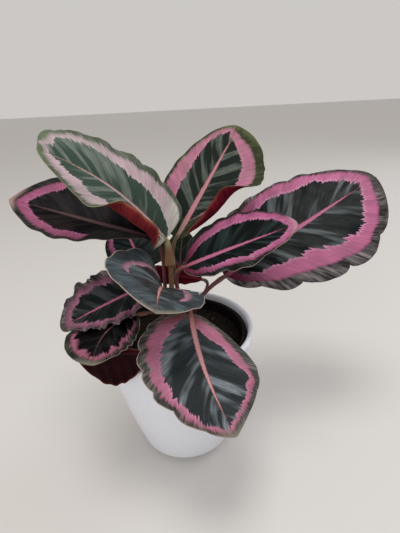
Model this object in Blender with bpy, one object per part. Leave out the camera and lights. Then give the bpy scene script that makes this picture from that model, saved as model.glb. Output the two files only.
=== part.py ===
"""Potted calathea, rose-painted type: cover pot, nursery pot, soil, crown, petioles and blades.

Metres, +Z up.  The origin is the centre of the cover pot's flat foot.
"""
import math
from dataclasses import dataclass

import bmesh
import bpy
import numpy as np

# ------------------------------------------------------------------ cover pot
POT_HEIGHT = 0.128
POT_TOP_RADIUS = 0.070
POT_FOOT_RADIUS = 0.044
POT_BULGE = 0.0035
POT_CORNER = 0.009
POT_WALL = 0.0052
POT_FLOOR = 0.006
ROUND_STEPS = 40

# ---------------------------------------------------------------- nursery pot
NURSERY_BOTTOM = 0.0065
NURSERY_HEIGHT = 0.1165
NURSERY_FOOT_RADIUS = 0.0390
NURSERY_TOP_RADIUS = 0.0605
NURSERY_WALL = 0.0013
NURSERY_RIM_REACH = 0.0022
NURSERY_RIM_HEIGHT = 0.006
DRAIN_HOLES = 4
DRAIN_HOLE_RADIUS = 0.005
DRAIN_HOLE_CIRCLE = 0.025

# ----------------------------------------------------------------------- soil
SOIL_LEVEL = 0.1145
SOIL_GAP = 0.0004
SOIL_ROUGHNESS = 0.0010
SOIL_SEED = 7

# ---------------------------------------------------------------------- crown
CROWN_RADIUS = 0.0165
CROWN_HEIGHT = 0.006
CROWN_GAP = 0.0004
CROWN_TOP = SOIL_LEVEL + CROWN_GAP + CROWN_HEIGHT

# --------------------------------------------------------------------- leaves
BLADE_THICKNESS = 0.0007
MIDRIB_THICKNESS = 0.0018
BLADE_STEPS = 16
HALF_STEPS = 5
BLADE_FOOT_HALF_WIDTH = 0.0016
BLADE_TIP_HALF_WIDTH = 0.0004
PETIOLE_SIDES = 7
PETIOLE_STEPS = 12
PETIOLE_GAP = 0.0006


@dataclass(frozen=True)
class Leaf:
    """One leaf: where its blade starts, how the midrib runs and how the halves are bent.

    Lengths are metres and angles degrees.  heading 0 points along +X and 90 along +Y.
    Left and right are as seen from the blade's base, looking at its upper face; every
    pair gives the left half first.
    """

    name: str
    base: tuple               # where the blade meets its petiole
    heading: float            # direction the midrib leaves in
    rise: float               # slope of the midrib at the base
    droop: float              # how much lower the slope is at the tip
    veer: float               # how far the heading has swung left at the tip
    lean: float               # roll about the midrib: positive lowers the right half
    twist: float              # further roll by the tip
    length: float
    reach: tuple              # greatest width of each half
    widest: tuple             # where along the midrib each half is widest, 0 to 1
    fold: tuple               # upward slope of each half where it leaves the midrib
    curl: tuple               # how far each half has turned down by its margin
    furl: tuple               # extra fold at the base, gone by the middle
    ripple: tuple             # height of the margin's ripple, ripples from base to tip
    foot: tuple               # where the petiole leaves the crown (x, y)
    cup: tuple = (0.0, 0.0)   # extra upward curl of each half at the base
    cup_end: float = 0.5      # how far along the midrib that curl is gone
    cup_from: float = 0.4     # how far out from the midrib that curl begins
    stem: tuple = (0.03, 0.015)  # how long the petiole runs straight at foot and at blade
    stem_lean: tuple = (0.0, 0.0)  # how far the petiole leans out at its foot, per metre up
    slim: float = 0.0014      # radius of the petiole's slim part
    sheath: float = 0.0028    # radius of the sheathed foot of the petiole
    collar: float = 0.0       # extra radius of the loose sleeve below the blade
    collar_mouth: float = 0.7  # how far up the petiole that sleeve's mouth is
    point: tuple = (0.60, 0.60)  # of each half: 0.3 gives a blunt tip, 0.9 a drawn-out one
    heel: float = 0.45        # 0.3 gives a square base, 0.6 a wedge-shaped one
    hinge: float = 0.07       # how far along the midrib the halves reach their full fold


LEAVES = (
    Leaf("01_new_upper_left", base=(-0.0045, -0.005, 0.217), heading=-149, rise=57, droop=30,
         veer=0, lean=-80, twist=34, length=0.120, reach=(0.030, 0.038), widest=(0.42, 0.28),
         fold=(10, 10), curl=(15, 25), furl=(30, -10), ripple=(0.001, 6), foot=(-0.0045, 0.0015),
         cup=(200, 0), cup_end=0.72, stem=(0.03, 0.006), collar=0.0034, collar_mouth=0.63,
         point=(0.60, 0.22), heel=0.46, hinge=0.20),
    Leaf("02_left_shaded", base=(-0.014, -0.006, 0.218), heading=175, rise=18, droop=0,
         veer=0, lean=-15, twist=0, length=0.121, reach=(0.028, 0.043), widest=(0.60, 0.52),
         fold=(0, 25), curl=(15, 5), furl=(40, 0), ripple=(0.001, 6), foot=(-0.0115, 0.0040),
         stem=(0.03, 0.009), point=(0.72, 0.68)),
    Leaf("03_upper_right", base=(0.003, 0.015, 0.210), heading=27, rise=53, droop=0,
         veer=0, lean=45, twist=0, length=0.110, reach=(0.035, 0.044), widest=(0.40, 0.60),
         fold=(5, 5), curl=(10, 10), furl=(0, -30), ripple=(0.001, 6), foot=(0.004, 0.009),
         cup=(0, 200), cup_end=0.74, hinge=0.12, heel=0.60, point=(0.55, 0.40)),
    Leaf("04_large_right", base=(0.045, 0.010, 0.172), heading=11, rise=29, droop=0,
         veer=0, lean=35, twist=0, length=0.160, reach=(0.056, 0.060), widest=(0.38, 0.62),
         fold=(5, 5), curl=(10, 20), furl=(0, 0), ripple=(0.0015, 6), foot=(0.0120, 0.0040),
         slim=0.0021, sheath=0.0033, point=(0.55, 0.55), heel=0.36),
    Leaf("05_centre_right", base=(0.009, -0.015, 0.195), heading=-10, rise=24, droop=2,
         veer=0, lean=15, twist=0, length=0.098, reach=(0.036, 0.026), widest=(0.40, 0.5),
         fold=(20, 0), curl=(10, 15), furl=(0, 0), ripple=(0.001, 6), foot=(0.0065, -0.0025),
         slim=0.0018),
    Leaf("06_front_hanging", base=(0.0134, -0.042, 0.1660), heading=-85, rise=-32, droop=6,
         veer=32, lean=-15, twist=0, length=0.0970, reach=(0.053, 0.048), widest=(0.60, 0.38),
         fold=(0, 0), curl=(15, 10), furl=(0, 0), ripple=(0.0003, 6), foot=(0.0075, -0.0105),
         point=(0.75, 0.75)),
    Leaf("07_front_folded", base=(-0.009, -0.022, 0.180), heading=-88, rise=32, droop=34,
         veer=0, lean=0, twist=0, length=0.084, reach=(0.033, 0.044), widest=(0.60, 0.45),
         fold=(-8, 36), curl=(10, 10), furl=(0, 50), ripple=(0.001, 6), foot=(-0.0005, -0.0065),
         point=(0.45, 0.60), heel=0.38),
    Leaf("08_left_ragged", base=(-0.022, -0.020, 0.183), heading=-156, rise=-12, droop=6,
         veer=0, lean=0, twist=0, length=0.076, reach=(0.029, 0.032), widest=(0.38, 0.5),
         fold=(-4, 28), curl=(0, 0), furl=(0, 0), ripple=(0.002, 6), foot=(-0.0110, -0.0025)),
    Leaf("09_left_drooping", base=(-0.0290, -0.0448, 0.1695), heading=-152, rise=6, droop=50,
         veer=56, lean=0, twist=0, length=0.056, reach=(0.022, 0.034), widest=(0.45, 0.60),
         fold=(-10, 2), curl=(20, 20), furl=(0, 0), ripple=(0.001, 6), foot=(-0.0095, -0.0090)),
    Leaf("10_left_lowest", base=(-0.0205, -0.0735, 0.1535), heading=168, rise=-2, droop=8,
         veer=0, lean=82, twist=0, length=0.061, reach=(0.006, 0.037), widest=(0.50, 0.60),
         fold=(0, 0), curl=(0, 0), furl=(0, 0), ripple=(0.001, 6), foot=(-0.0035, -0.0130),
         point=(0.45, 0.45)),
    Leaf("11_small_left", base=(-0.028, 0.010, 0.184), heading=115, rise=25, droop=0,
         veer=0, lean=-10, twist=0, length=0.065, reach=(0.026, 0.033), widest=(0.5, 0.40),
         fold=(5, 5), curl=(20, 20), furl=(0, 0), ripple=(0.001, 6), foot=(-0.0105, 0.0100)),
    Leaf("12_small_centre", base=(0.003, 0.032, 0.174), heading=75, rise=60, droop=0,
         veer=0, lean=0, twist=0, length=0.036, reach=(0.013, 0.015), widest=(0.5, 0.5),
         fold=(10, 10), curl=(10, 10), furl=(0, 0), ripple=(0.001, 6), foot=(-0.003, 0.012)),
    Leaf("13_back", base=(0.0235, 0.0165, 0.167), heading=180, rise=16, droop=28,
         veer=0, lean=80, twist=0, length=0.058, reach=(0.012, 0.010), widest=(0.5, 0.5),
         fold=(0, 0), curl=(0, 0), furl=(0, 0), ripple=(0.001, 6), foot=(0.010, 0.012),
         stem=(0.02, 0.016), point=(0.35, 0.35), heel=0.50),
)


# ------------------------------------------------------------ leaf geometry
def unit(vectors):
    """Scale vectors to length one along their last axis."""
    return vectors / np.linalg.norm(vectors, axis=-1, keepdims=True)


def midrib_frames(leaf, samples):
    """Points of the midrib with its direction, rightward and upward vectors at `samples` (0..1)."""
    fine = np.linspace(0.0, 1.0, 241)
    slope = np.radians(leaf.rise - leaf.droop * fine ** 1.3)
    turn = np.radians(leaf.heading + leaf.veer * fine)
    ahead = np.stack([np.cos(slope) * np.cos(turn), np.cos(slope) * np.sin(turn),
                      np.sin(slope)], -1)
    middle = (ahead[1:] + ahead[:-1]) / 2.0
    path = np.vstack([np.zeros(3), np.cumsum(middle, 0)]) * leaf.length / (len(fine) - 1)
    path += np.array(leaf.base)
    right = np.stack([np.sin(turn), -np.cos(turn), np.zeros_like(turn)], -1)
    up = np.cross(right, ahead)
    roll = np.radians(leaf.lean + leaf.twist * fine)[:, None]
    right, up = (np.cos(roll) * right - np.sin(roll) * up,
                 np.cos(roll) * up + np.sin(roll) * right)
    picked = []
    for line in (path, ahead, right, up):
        picked.append(np.stack([np.interp(samples, fine, line[:, k]) for k in range(3)], -1))
    return picked


def half_width(leaf, side, samples):
    """Distance from midrib to margin on one side: a broad ellipse with a short pointed tip."""
    stretch = samples ** (math.log(0.5) / math.log(leaf.widest[side]))
    roundness = leaf.heel + (leaf.point[side] - leaf.heel) * samples
    wide = leaf.reach[side] * np.sin(math.pi * np.clip(stretch, 0.0, 1.0)) ** roundness
    smallest = BLADE_FOOT_HALF_WIDTH + (BLADE_TIP_HALF_WIDTH - BLADE_FOOT_HALF_WIDTH) * samples
    return np.maximum(wide, smallest)


def blade_surface(leaf, samples, across):
    """Middle surface of a blade: rows along the midrib, columns from left (-1) to right (+1)."""
    path, _, right, up = midrib_frames(leaf, samples)
    side = (across > 0.0).astype(int)
    reach = np.stack([half_width(leaf, 0, samples), half_width(leaf, 1, samples)], -1)[:, side]
    out = np.abs(across)[None, :]
    opening = np.clip(samples / leaf.hinge, 0.0, 1.0)[:, None]
    opening = opening * opening * (3.0 - 2.0 * opening)
    closing = np.clip(1.0 - samples / 0.6, 0.0, 1.0)[:, None] ** 1.5
    fold = np.radians(np.array(leaf.fold)[side][None, :]
                      + np.array(leaf.furl)[side][None, :] * closing) * opening
    cupped = np.clip((leaf.cup_end - samples) / (0.4 * leaf.cup_end), 0.0, 1.0)[:, None]
    cupped = cupped * cupped * (3.0 - 2.0 * cupped)
    curl = np.radians(np.array(leaf.curl))[side][None, :] * opening
    cup = np.radians(np.array(leaf.cup))[side][None, :] * cupped * opening / (1.0 - leaf.cup_from)
    near = np.minimum(out, leaf.cup_from)
    parts = []
    for start, span, bend in ((fold, near, -curl), (fold - curl * near, out - near, cup - curl)):
        angle = start + 0.5 * bend * span
        chord = span * reach * np.sinc(0.5 * bend * span / math.pi)
        parts.append((chord * np.cos(angle), chord * np.sin(angle)))
    height, count = leaf.ripple
    phase = 2.0 * math.pi * count * samples[:, None] + 1.3 * side[None, :]
    lift = height * np.sin(phase) * out ** 2 * np.sin(math.pi * samples)[:, None]
    sideways = np.where(across < 0.0, -1.0, 1.0)[None, :] * (parts[0][0] + parts[1][0])
    climb = parts[0][1] + parts[1][1] + lift
    return (path[:, None, :] + sideways[..., None] * right[:, None, :]
            + climb[..., None] * up[:, None, :])


def surface_normals(leaf, grid):
    """Unit normals of a blade's grid of points, towards its upper face."""
    along = np.gradient(grid, axis=0)
    over = np.gradient(grid, axis=1)
    normals = unit(np.cross(over, along))
    ends = midrib_frames(leaf, np.array([0.0, 1.0]))[3]
    normals[0] = ends[0]
    normals[-1] = ends[1]
    return normals


def blade_rows(steps):
    """Stations along a midrib, closer together towards base and tip."""
    even = np.linspace(0.0, 1.0, steps + 1)
    return 0.35 * even + 0.65 * (0.5 - 0.5 * np.cos(math.pi * even))


def bezier(points, samples):
    """Points on a cubic curve with four control points."""
    t = samples[:, None]
    a, b, c, d = (np.array(p) for p in points)
    return (1 - t) ** 3 * a + 3 * t * (1 - t) ** 2 * b + 3 * t ** 2 * (1 - t) * c + t ** 3 * d


def petiole_path(leaf, samples):
    """Centre line of a petiole, from just above the crown to just short of the blade."""
    base = np.array(leaf.base)
    _, ahead, _, _ = midrib_frames(leaf, np.array([0.0]))
    end = base - ahead[0] * (PETIOLE_GAP + 0.0004)
    start = np.array([leaf.foot[0], leaf.foot[1], CROWN_TOP + PETIOLE_GAP])
    outward = unit(np.array([leaf.stem_lean[0], leaf.stem_lean[1], 1.0]))
    controls = (start, start + outward * leaf.stem[0], end - ahead[0] * leaf.stem[1], end)
    return bezier(controls, samples)


def petiole_radius(leaf, samples):
    """Sheathed foot, slim middle and a slightly swollen joint below the blade."""
    slim = leaf.slim
    sheath = (leaf.sheath - slim) * np.clip(1.0 - samples / 0.55, 0.0, 1.0) ** 0.8
    joint = 0.0004 * np.exp(-((samples - 0.90) / 0.07) ** 2)
    sleeve = leaf.collar * np.clip((0.97 - samples) / (0.97 - leaf.collar_mouth), 0.0, 1.0)
    return slim + sheath + joint + sleeve * (samples >= leaf.collar_mouth)


# ------------------------------------------------------------- mesh building
def material(name, colour, roughness, metallic=0.0):
    """A Principled material of one colour."""
    made = bpy.data.materials.new(name)
    made.use_nodes = True
    shader = made.node_tree.nodes["Principled BSDF"]
    shader.inputs["Base Color"].default_value = (*colour, 1.0)
    shader.inputs["Roughness"].default_value = roughness
    shader.inputs["Metallic"].default_value = metallic
    made.diffuse_color = (*colour, 1.0)
    return made


def add_object(name, vertices, faces, made, smooth=True):
    """Put a mesh in the scene with one material."""
    mesh = bpy.data.meshes.new(name)
    mesh.from_pydata([tuple(v) for v in vertices], [], faces)
    mesh.validate()
    working = bmesh.new()
    working.from_mesh(mesh)
    bmesh.ops.recalc_face_normals(working, faces=working.faces)
    for face in working.faces:
        face.smooth = smooth
    working.to_mesh(mesh)
    working.free()
    mesh.materials.append(made)
    made_object = bpy.data.objects.new(name, mesh)
    bpy.context.scene.collection.objects.link(made_object)
    return made_object


def set_origin(made_object, point):
    """Move an object's origin to a point without moving its mesh."""
    for vertex in made_object.data.vertices:
        vertex.co.x -= point[0]
        vertex.co.y -= point[1]
        vertex.co.z -= point[2]
    made_object.location = point


def lathe(name, outline, made, steps=ROUND_STEPS):
    """Turn a closed outline of (radius, height) about Z; a radius of 0 is a point on the axis."""
    vertices, rings = [], []
    for radius, height in outline:
        if radius == 0.0:
            rings.append([len(vertices)])
            vertices.append((0.0, 0.0, height))
            continue
        ring = []
        for k in range(steps):
            turn = 2.0 * math.pi * k / steps
            ring.append(len(vertices))
            vertices.append((radius * math.cos(turn), radius * math.sin(turn), height))
        rings.append(ring)
    faces = []
    for k, ring in enumerate(rings):
        following = rings[(k + 1) % len(rings)]
        if len(ring) == 1 and len(following) == 1:
            continue
        for j in range(steps):
            i = (j + 1) % steps
            if len(ring) == 1:
                faces.append((ring[0], following[i], following[j]))
            elif len(following) == 1:
                faces.append((ring[j], ring[i], following[0]))
            else:
                faces.append((ring[j], ring[i], following[i], following[j]))
    return add_object(name, vertices, faces, made)


def pot_radius(height):
    """Outer radius of the cover pot at a height, without its rounded foot."""
    part = height / POT_HEIGHT
    taper = POT_FOOT_RADIUS + (POT_TOP_RADIUS - POT_FOOT_RADIUS) * part
    return taper + POT_BULGE * math.sin(math.pi * part)


def cover_pot(made):
    """Tapered cover pot with a flat foot, a rounded foot corner and a rounded lip."""
    outline = [(0.0, 0.0), (0.020, 0.0), (pot_radius(0.0) - POT_CORNER, 0.0)]
    for k in range(1, 6):
        height = POT_CORNER * (1.0 - math.cos(0.5 * math.pi * k / 5))
        inset = POT_CORNER - POT_CORNER * math.sin(0.5 * math.pi * k / 5)
        outline.append((pot_radius(height) - inset, height))
    lip = POT_WALL / 2.0
    for k in range(1, 8):
        height = POT_CORNER + (POT_HEIGHT - lip - POT_CORNER) * k / 7
        outline.append((pot_radius(height), height))
    middle = pot_radius(POT_HEIGHT - lip) - lip
    for k in range(1, 6):
        turn = math.pi * k / 6
        outline.append((middle + lip * math.cos(turn), POT_HEIGHT - lip + lip * math.sin(turn)))
    for k in range(7, -1, -1):
        height = POT_FLOOR + 0.006 + (POT_HEIGHT - lip - POT_FLOOR - 0.006) * k / 7
        outline.append((pot_radius(height) - POT_WALL, height))
    inner = pot_radius(POT_FLOOR) - POT_WALL
    outline.append((inner - 0.0012, POT_FLOOR + 0.0022))
    outline.append((inner - 0.0040, POT_FLOOR))
    outline.append((0.020, POT_FLOOR))
    outline.append((0.0, POT_FLOOR))
    return lathe("cover_pot", outline, made)


def nursery_radius(height):
    """Outer radius of the nursery pot's wall at a height above the cover pot's foot."""
    part = (height - NURSERY_BOTTOM) / NURSERY_HEIGHT
    return NURSERY_FOOT_RADIUS + (NURSERY_TOP_RADIUS - NURSERY_FOOT_RADIUS) * part


def nursery_pot(made):
    """Thin growing pot with a turned-out rim and round drain holes in its floor."""
    foot = NURSERY_BOTTOM
    top = NURSERY_BOTTOM + NURSERY_HEIGHT
    under_rim = top - NURSERY_RIM_HEIGHT
    wall = NURSERY_WALL
    outline = [(0.0, foot), (0.030, foot), (nursery_radius(foot) - 0.006, foot),
               (nursery_radius(foot) - 0.002, foot + 0.0012),
               (nursery_radius(foot + 0.004), foot + 0.004)]
    for k in range(1, 4):
        height = foot + 0.004 + (under_rim - foot - 0.004) * k / 3
        outline.append((nursery_radius(height), height))
    outline.append((nursery_radius(under_rim) + NURSERY_RIM_REACH, under_rim + 0.0008))
    outline.append((nursery_radius(top) + NURSERY_RIM_REACH, top - 0.0008))
    outline.append((nursery_radius(top) + NURSERY_RIM_REACH - 0.0006, top))
    outline.append((nursery_radius(top) - wall + 0.0005, top))
    outline.append((nursery_radius(top) - wall, top - 0.0006))
    for k in range(3, 0, -1):
        height = foot + 0.004 + (under_rim - foot - 0.004) * k / 3
        outline.append((nursery_radius(height) - wall, height))
    outline.append((nursery_radius(foot + 0.004) - wall, foot + 0.004))
    outline.append((nursery_radius(foot) - 0.006 - 0.0005, foot + wall))
    outline.append((0.030, foot + wall))
    outline.append((0.0, foot + wall))
    pot = lathe("nursery_pot", outline, made)
    for k in range(DRAIN_HOLES):
        turn = 2.0 * math.pi * (k + 0.5) / DRAIN_HOLES
        cutter = cylinder(f"drain_hole_cutter_{k + 1}", DRAIN_HOLE_RADIUS, foot - 0.002,
                          foot + wall + 0.002,
                          (DRAIN_HOLE_CIRCLE * math.cos(turn), DRAIN_HOLE_CIRCLE * math.sin(turn)))
        cutter.hide_render = True
        cutter.display_type = "WIRE"
        cut = pot.modifiers.new(f"drain hole {k + 1}", "BOOLEAN")
        cut.operation = "DIFFERENCE"
        cut.solver = "EXACT"
        cut.object = cutter
    return pot


def cylinder(name, radius, low, high, centre, sides=16):
    """A plain upright cylinder."""
    vertices, faces = [], []
    for height in (low, high):
        for k in range(sides):
            turn = 2.0 * math.pi * k / sides
            vertices.append((centre[0] + radius * math.cos(turn),
                             centre[1] + radius * math.sin(turn), height))
    for k in range(sides):
        j = (k + 1) % sides
        faces.append((k, j, sides + j, sides + k))
    faces.append(tuple(reversed(range(sides))))
    faces.append(tuple(range(sides, 2 * sides)))
    mesh = bpy.data.meshes.new(name)
    mesh.from_pydata(vertices, [], faces)
    made_object = bpy.data.objects.new(name, mesh)
    bpy.context.scene.collection.objects.link(made_object)
    return made_object


def soil(made):
    """Potting mix filling the nursery pot; its top is uneven except under the crown."""
    rng = np.random.default_rng(SOIL_SEED)
    inset = NURSERY_WALL + SOIL_GAP
    low = NURSERY_BOTTOM + NURSERY_WALL + SOIL_GAP
    outline = [(0.0, low), (0.028, low), (nursery_radius(low) - 0.0062 - inset, low),
               (nursery_radius(NURSERY_BOTTOM + 0.004) - inset, NURSERY_BOTTOM + 0.0048)]
    edge = SOIL_LEVEL - 0.0010
    outline.append((nursery_radius(0.060) - inset, 0.060))
    outline.append((nursery_radius(edge) - inset - 0.0002, edge))
    flat = CROWN_RADIUS + 0.002
    top_rings = (0.054, 0.048, 0.042, 0.036, 0.030, 0.024, flat)
    for radius in top_rings:
        outline.append((radius, SOIL_LEVEL))
    outline.append((0.0, SOIL_LEVEL))
    made_object = lathe("potting_soil", outline, made)
    for vertex in made_object.data.vertices:
        radius = math.hypot(vertex.co.x, vertex.co.y)
        on_top = abs(vertex.co.z - SOIL_LEVEL) < 0.0002
        if on_top and radius > flat + 0.001:
            vertex.co.z += SOIL_ROUGHNESS * (rng.random() - 0.5) * 2.0 - 0.0006
            vertex.co.x += 0.0012 * (rng.random() - 0.5)
            vertex.co.y += 0.0012 * (rng.random() - 0.5)
    return made_object


def crown(made):
    """Low lumpy rootstock the petioles rise from."""
    low = SOIL_LEVEL + CROWN_GAP
    outline = [(0.0, low), (CROWN_RADIUS * 0.9, low), (CROWN_RADIUS, low + 0.0016),
               (CROWN_RADIUS * 0.97, low + 0.0040), (CROWN_RADIUS * 0.92, CROWN_TOP),
               (CROWN_RADIUS * 0.5, CROWN_TOP), (0.0, CROWN_TOP)]
    made_object = lathe("crown", outline, made, steps=28)
    for vertex in made_object.data.vertices:
        turn = math.atan2(vertex.co.y, vertex.co.x)
        lump = 1.0 + 0.05 * math.sin(5.0 * turn + 0.7) + 0.03 * math.sin(9.0 * turn)
        vertex.co.x *= lump
        vertex.co.y *= lump
    return made_object


def blade(leaf, made):
    """Thin closed blade, thickest along its midrib."""
    rows = blade_rows(BLADE_STEPS)
    across = np.linspace(-1.0, 1.0, 2 * HALF_STEPS + 1)
    middle = blade_surface(leaf, rows, across)
    normals = surface_normals(leaf, middle)
    rib = (MIDRIB_THICKNESS - BLADE_THICKNESS) * (1.0 - 0.8 * rows[:, None])
    thickness = BLADE_THICKNESS + rib * (across[None, :] == 0.0)
    upper = middle + normals * 0.5 * BLADE_THICKNESS
    lower = middle - normals * (thickness[..., None] - 0.5 * BLADE_THICKNESS)
    vertices = np.concatenate([upper.reshape(-1, 3), lower.reshape(-1, 3)])
    columns = len(across)
    below = len(rows) * columns
    faces = []
    for i in range(len(rows) - 1):
        for j in range(columns - 1):
            a = i * columns + j
            faces.append((a, a + 1, a + columns + 1, a + columns))
            faces.append((below + a, below + a + columns, below + a + columns + 1, below + a + 1))
    edge = [j for j in range(columns)]
    edge += [i * columns + columns - 1 for i in range(1, len(rows))]
    edge += [(len(rows) - 1) * columns + j for j in range(columns - 2, -1, -1)]
    edge += [i * columns for i in range(len(rows) - 2, 0, -1)]
    for k, here in enumerate(edge):
        there = edge[(k + 1) % len(edge)]
        faces.append((here, there, below + there, below + here))
    made_object = add_object("blade_" + leaf.name, vertices, faces, made)
    set_origin(made_object, leaf.base)
    return made_object


def petiole(leaf, made):
    """Stalk from the crown to the blade: sheathed foot, slim middle, swollen joint."""
    samples = np.linspace(0.0, 1.0, PETIOLE_STEPS + 1)
    path = petiole_path(leaf, samples)
    radii = petiole_radius(leaf, samples)
    ahead = unit(np.gradient(path, axis=0))
    ahead[0] = (0.0, 0.0, 1.0)
    side = np.array([1.0, 0.0, 0.0])
    vertices, faces = [], []
    for centre, direction, radius in zip(path, ahead, radii):
        side = unit(side - direction * np.dot(side, direction))
        other = np.cross(direction, side)
        for k in range(PETIOLE_SIDES):
            turn = 2.0 * math.pi * k / PETIOLE_SIDES
            vertices.append(centre + radius * (math.cos(turn) * side + math.sin(turn) * other))
    last = PETIOLE_STEPS * PETIOLE_SIDES
    for i in range(PETIOLE_STEPS):
        for k in range(PETIOLE_SIDES):
            a = i * PETIOLE_SIDES + k
            b = i * PETIOLE_SIDES + (k + 1) % PETIOLE_SIDES
            faces.append((a, b, b + PETIOLE_SIDES, a + PETIOLE_SIDES))
    faces.append(tuple(reversed(range(PETIOLE_SIDES))))
    faces.append(tuple(range(last, last + PETIOLE_SIDES)))
    made_object = add_object("petiole_" + leaf.name, vertices, faces, made)
    set_origin(made_object, tuple(path[0]))
    return made_object


def main():
    """Clear the scene and build every piece."""
    for old in list(bpy.data.objects):
        bpy.data.objects.remove(old, do_unlink=True)
    cover_pot(material("white_glaze", (0.80, 0.81, 0.83), 0.32))
    nursery_pot(material("black_plastic", (0.018, 0.017, 0.018), 0.50))
    soil(material("potting_mix", (0.030, 0.021, 0.016), 0.95))
    crown(material("crown_fibre", (0.110, 0.060, 0.035), 0.80))
    for leaf in LEAVES:
        young = leaf.name.startswith("01")
        upper = (0.085, 0.120, 0.085) if young else (0.040, 0.038, 0.036)
        blade(leaf, material("blade_" + leaf.name, upper, 0.38))
        petiole(leaf, material("petiole_" + leaf.name, (0.150, 0.050, 0.035), 0.50))


if __name__ == "__main__":
    main()
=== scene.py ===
"""Potted calathea of the rose-painted type: every visible surface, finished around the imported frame.

Metres, +Z up, in the frame's own axes.  The leaves follow the courses the solid model is built
to; the pots, the soil and the crown take their sizes from the frame's boxes.
"""
import logging
import math
from dataclasses import dataclass, replace
from enum import Enum

import bmesh
import bpy
import numpy as np
from bpy.types import bpy_prop_collection, Material, Mesh, Node, NodeSocket, NodeTree, Object
from mathutils import Matrix, Vector


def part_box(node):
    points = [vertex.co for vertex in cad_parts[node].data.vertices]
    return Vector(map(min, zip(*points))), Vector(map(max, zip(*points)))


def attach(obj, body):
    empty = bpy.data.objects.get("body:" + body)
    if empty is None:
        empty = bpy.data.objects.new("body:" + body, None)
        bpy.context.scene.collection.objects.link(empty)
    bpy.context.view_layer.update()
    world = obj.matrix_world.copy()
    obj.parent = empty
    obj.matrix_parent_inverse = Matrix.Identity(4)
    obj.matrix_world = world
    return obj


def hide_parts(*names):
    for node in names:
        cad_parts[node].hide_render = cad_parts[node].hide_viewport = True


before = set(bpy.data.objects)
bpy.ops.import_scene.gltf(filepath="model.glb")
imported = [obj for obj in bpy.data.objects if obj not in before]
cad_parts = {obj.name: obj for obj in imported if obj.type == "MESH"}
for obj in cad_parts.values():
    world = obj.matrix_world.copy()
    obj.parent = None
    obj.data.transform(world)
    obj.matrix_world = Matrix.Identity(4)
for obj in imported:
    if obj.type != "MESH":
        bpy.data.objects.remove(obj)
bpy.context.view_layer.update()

log = logging.getLogger("potted_calathea")

Colour = tuple[float, float, float]
Pair = tuple[float, float]
Point = tuple[float, float, float]
Band = tuple[Pair, Pair, Pair]      # outer and inner edge: near the base, in the middle, near the tip

BODY = "root"
RUN = "leaf_run"            # per point: vein, across, along
ZONES = "leaf_zones"        # per point, in mm past: the ring's outer edge, its inner edge, the stripe
RIM = "leaf_rim"            # per point: mm from the margin, mm of pale hem there, swell of the pleat
STALK_RUN = "stalk_run"     # per point: 0 at the foot, 1 at the blade
GIRTH = "girth"             # per point: radius of the stalk
MM = 1000.0


class Slot(Enum):
    """The record's material slots."""

    GLAZE = "white_glaze"
    PLASTIC = "black_plastic"
    MIX = "potting_mix"
    FIBRE = "crown_fibre"
    YOUNG_BLADE = "young_blade"
    BLADE = "blade"
    PETIOLE = "petiole"


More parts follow.
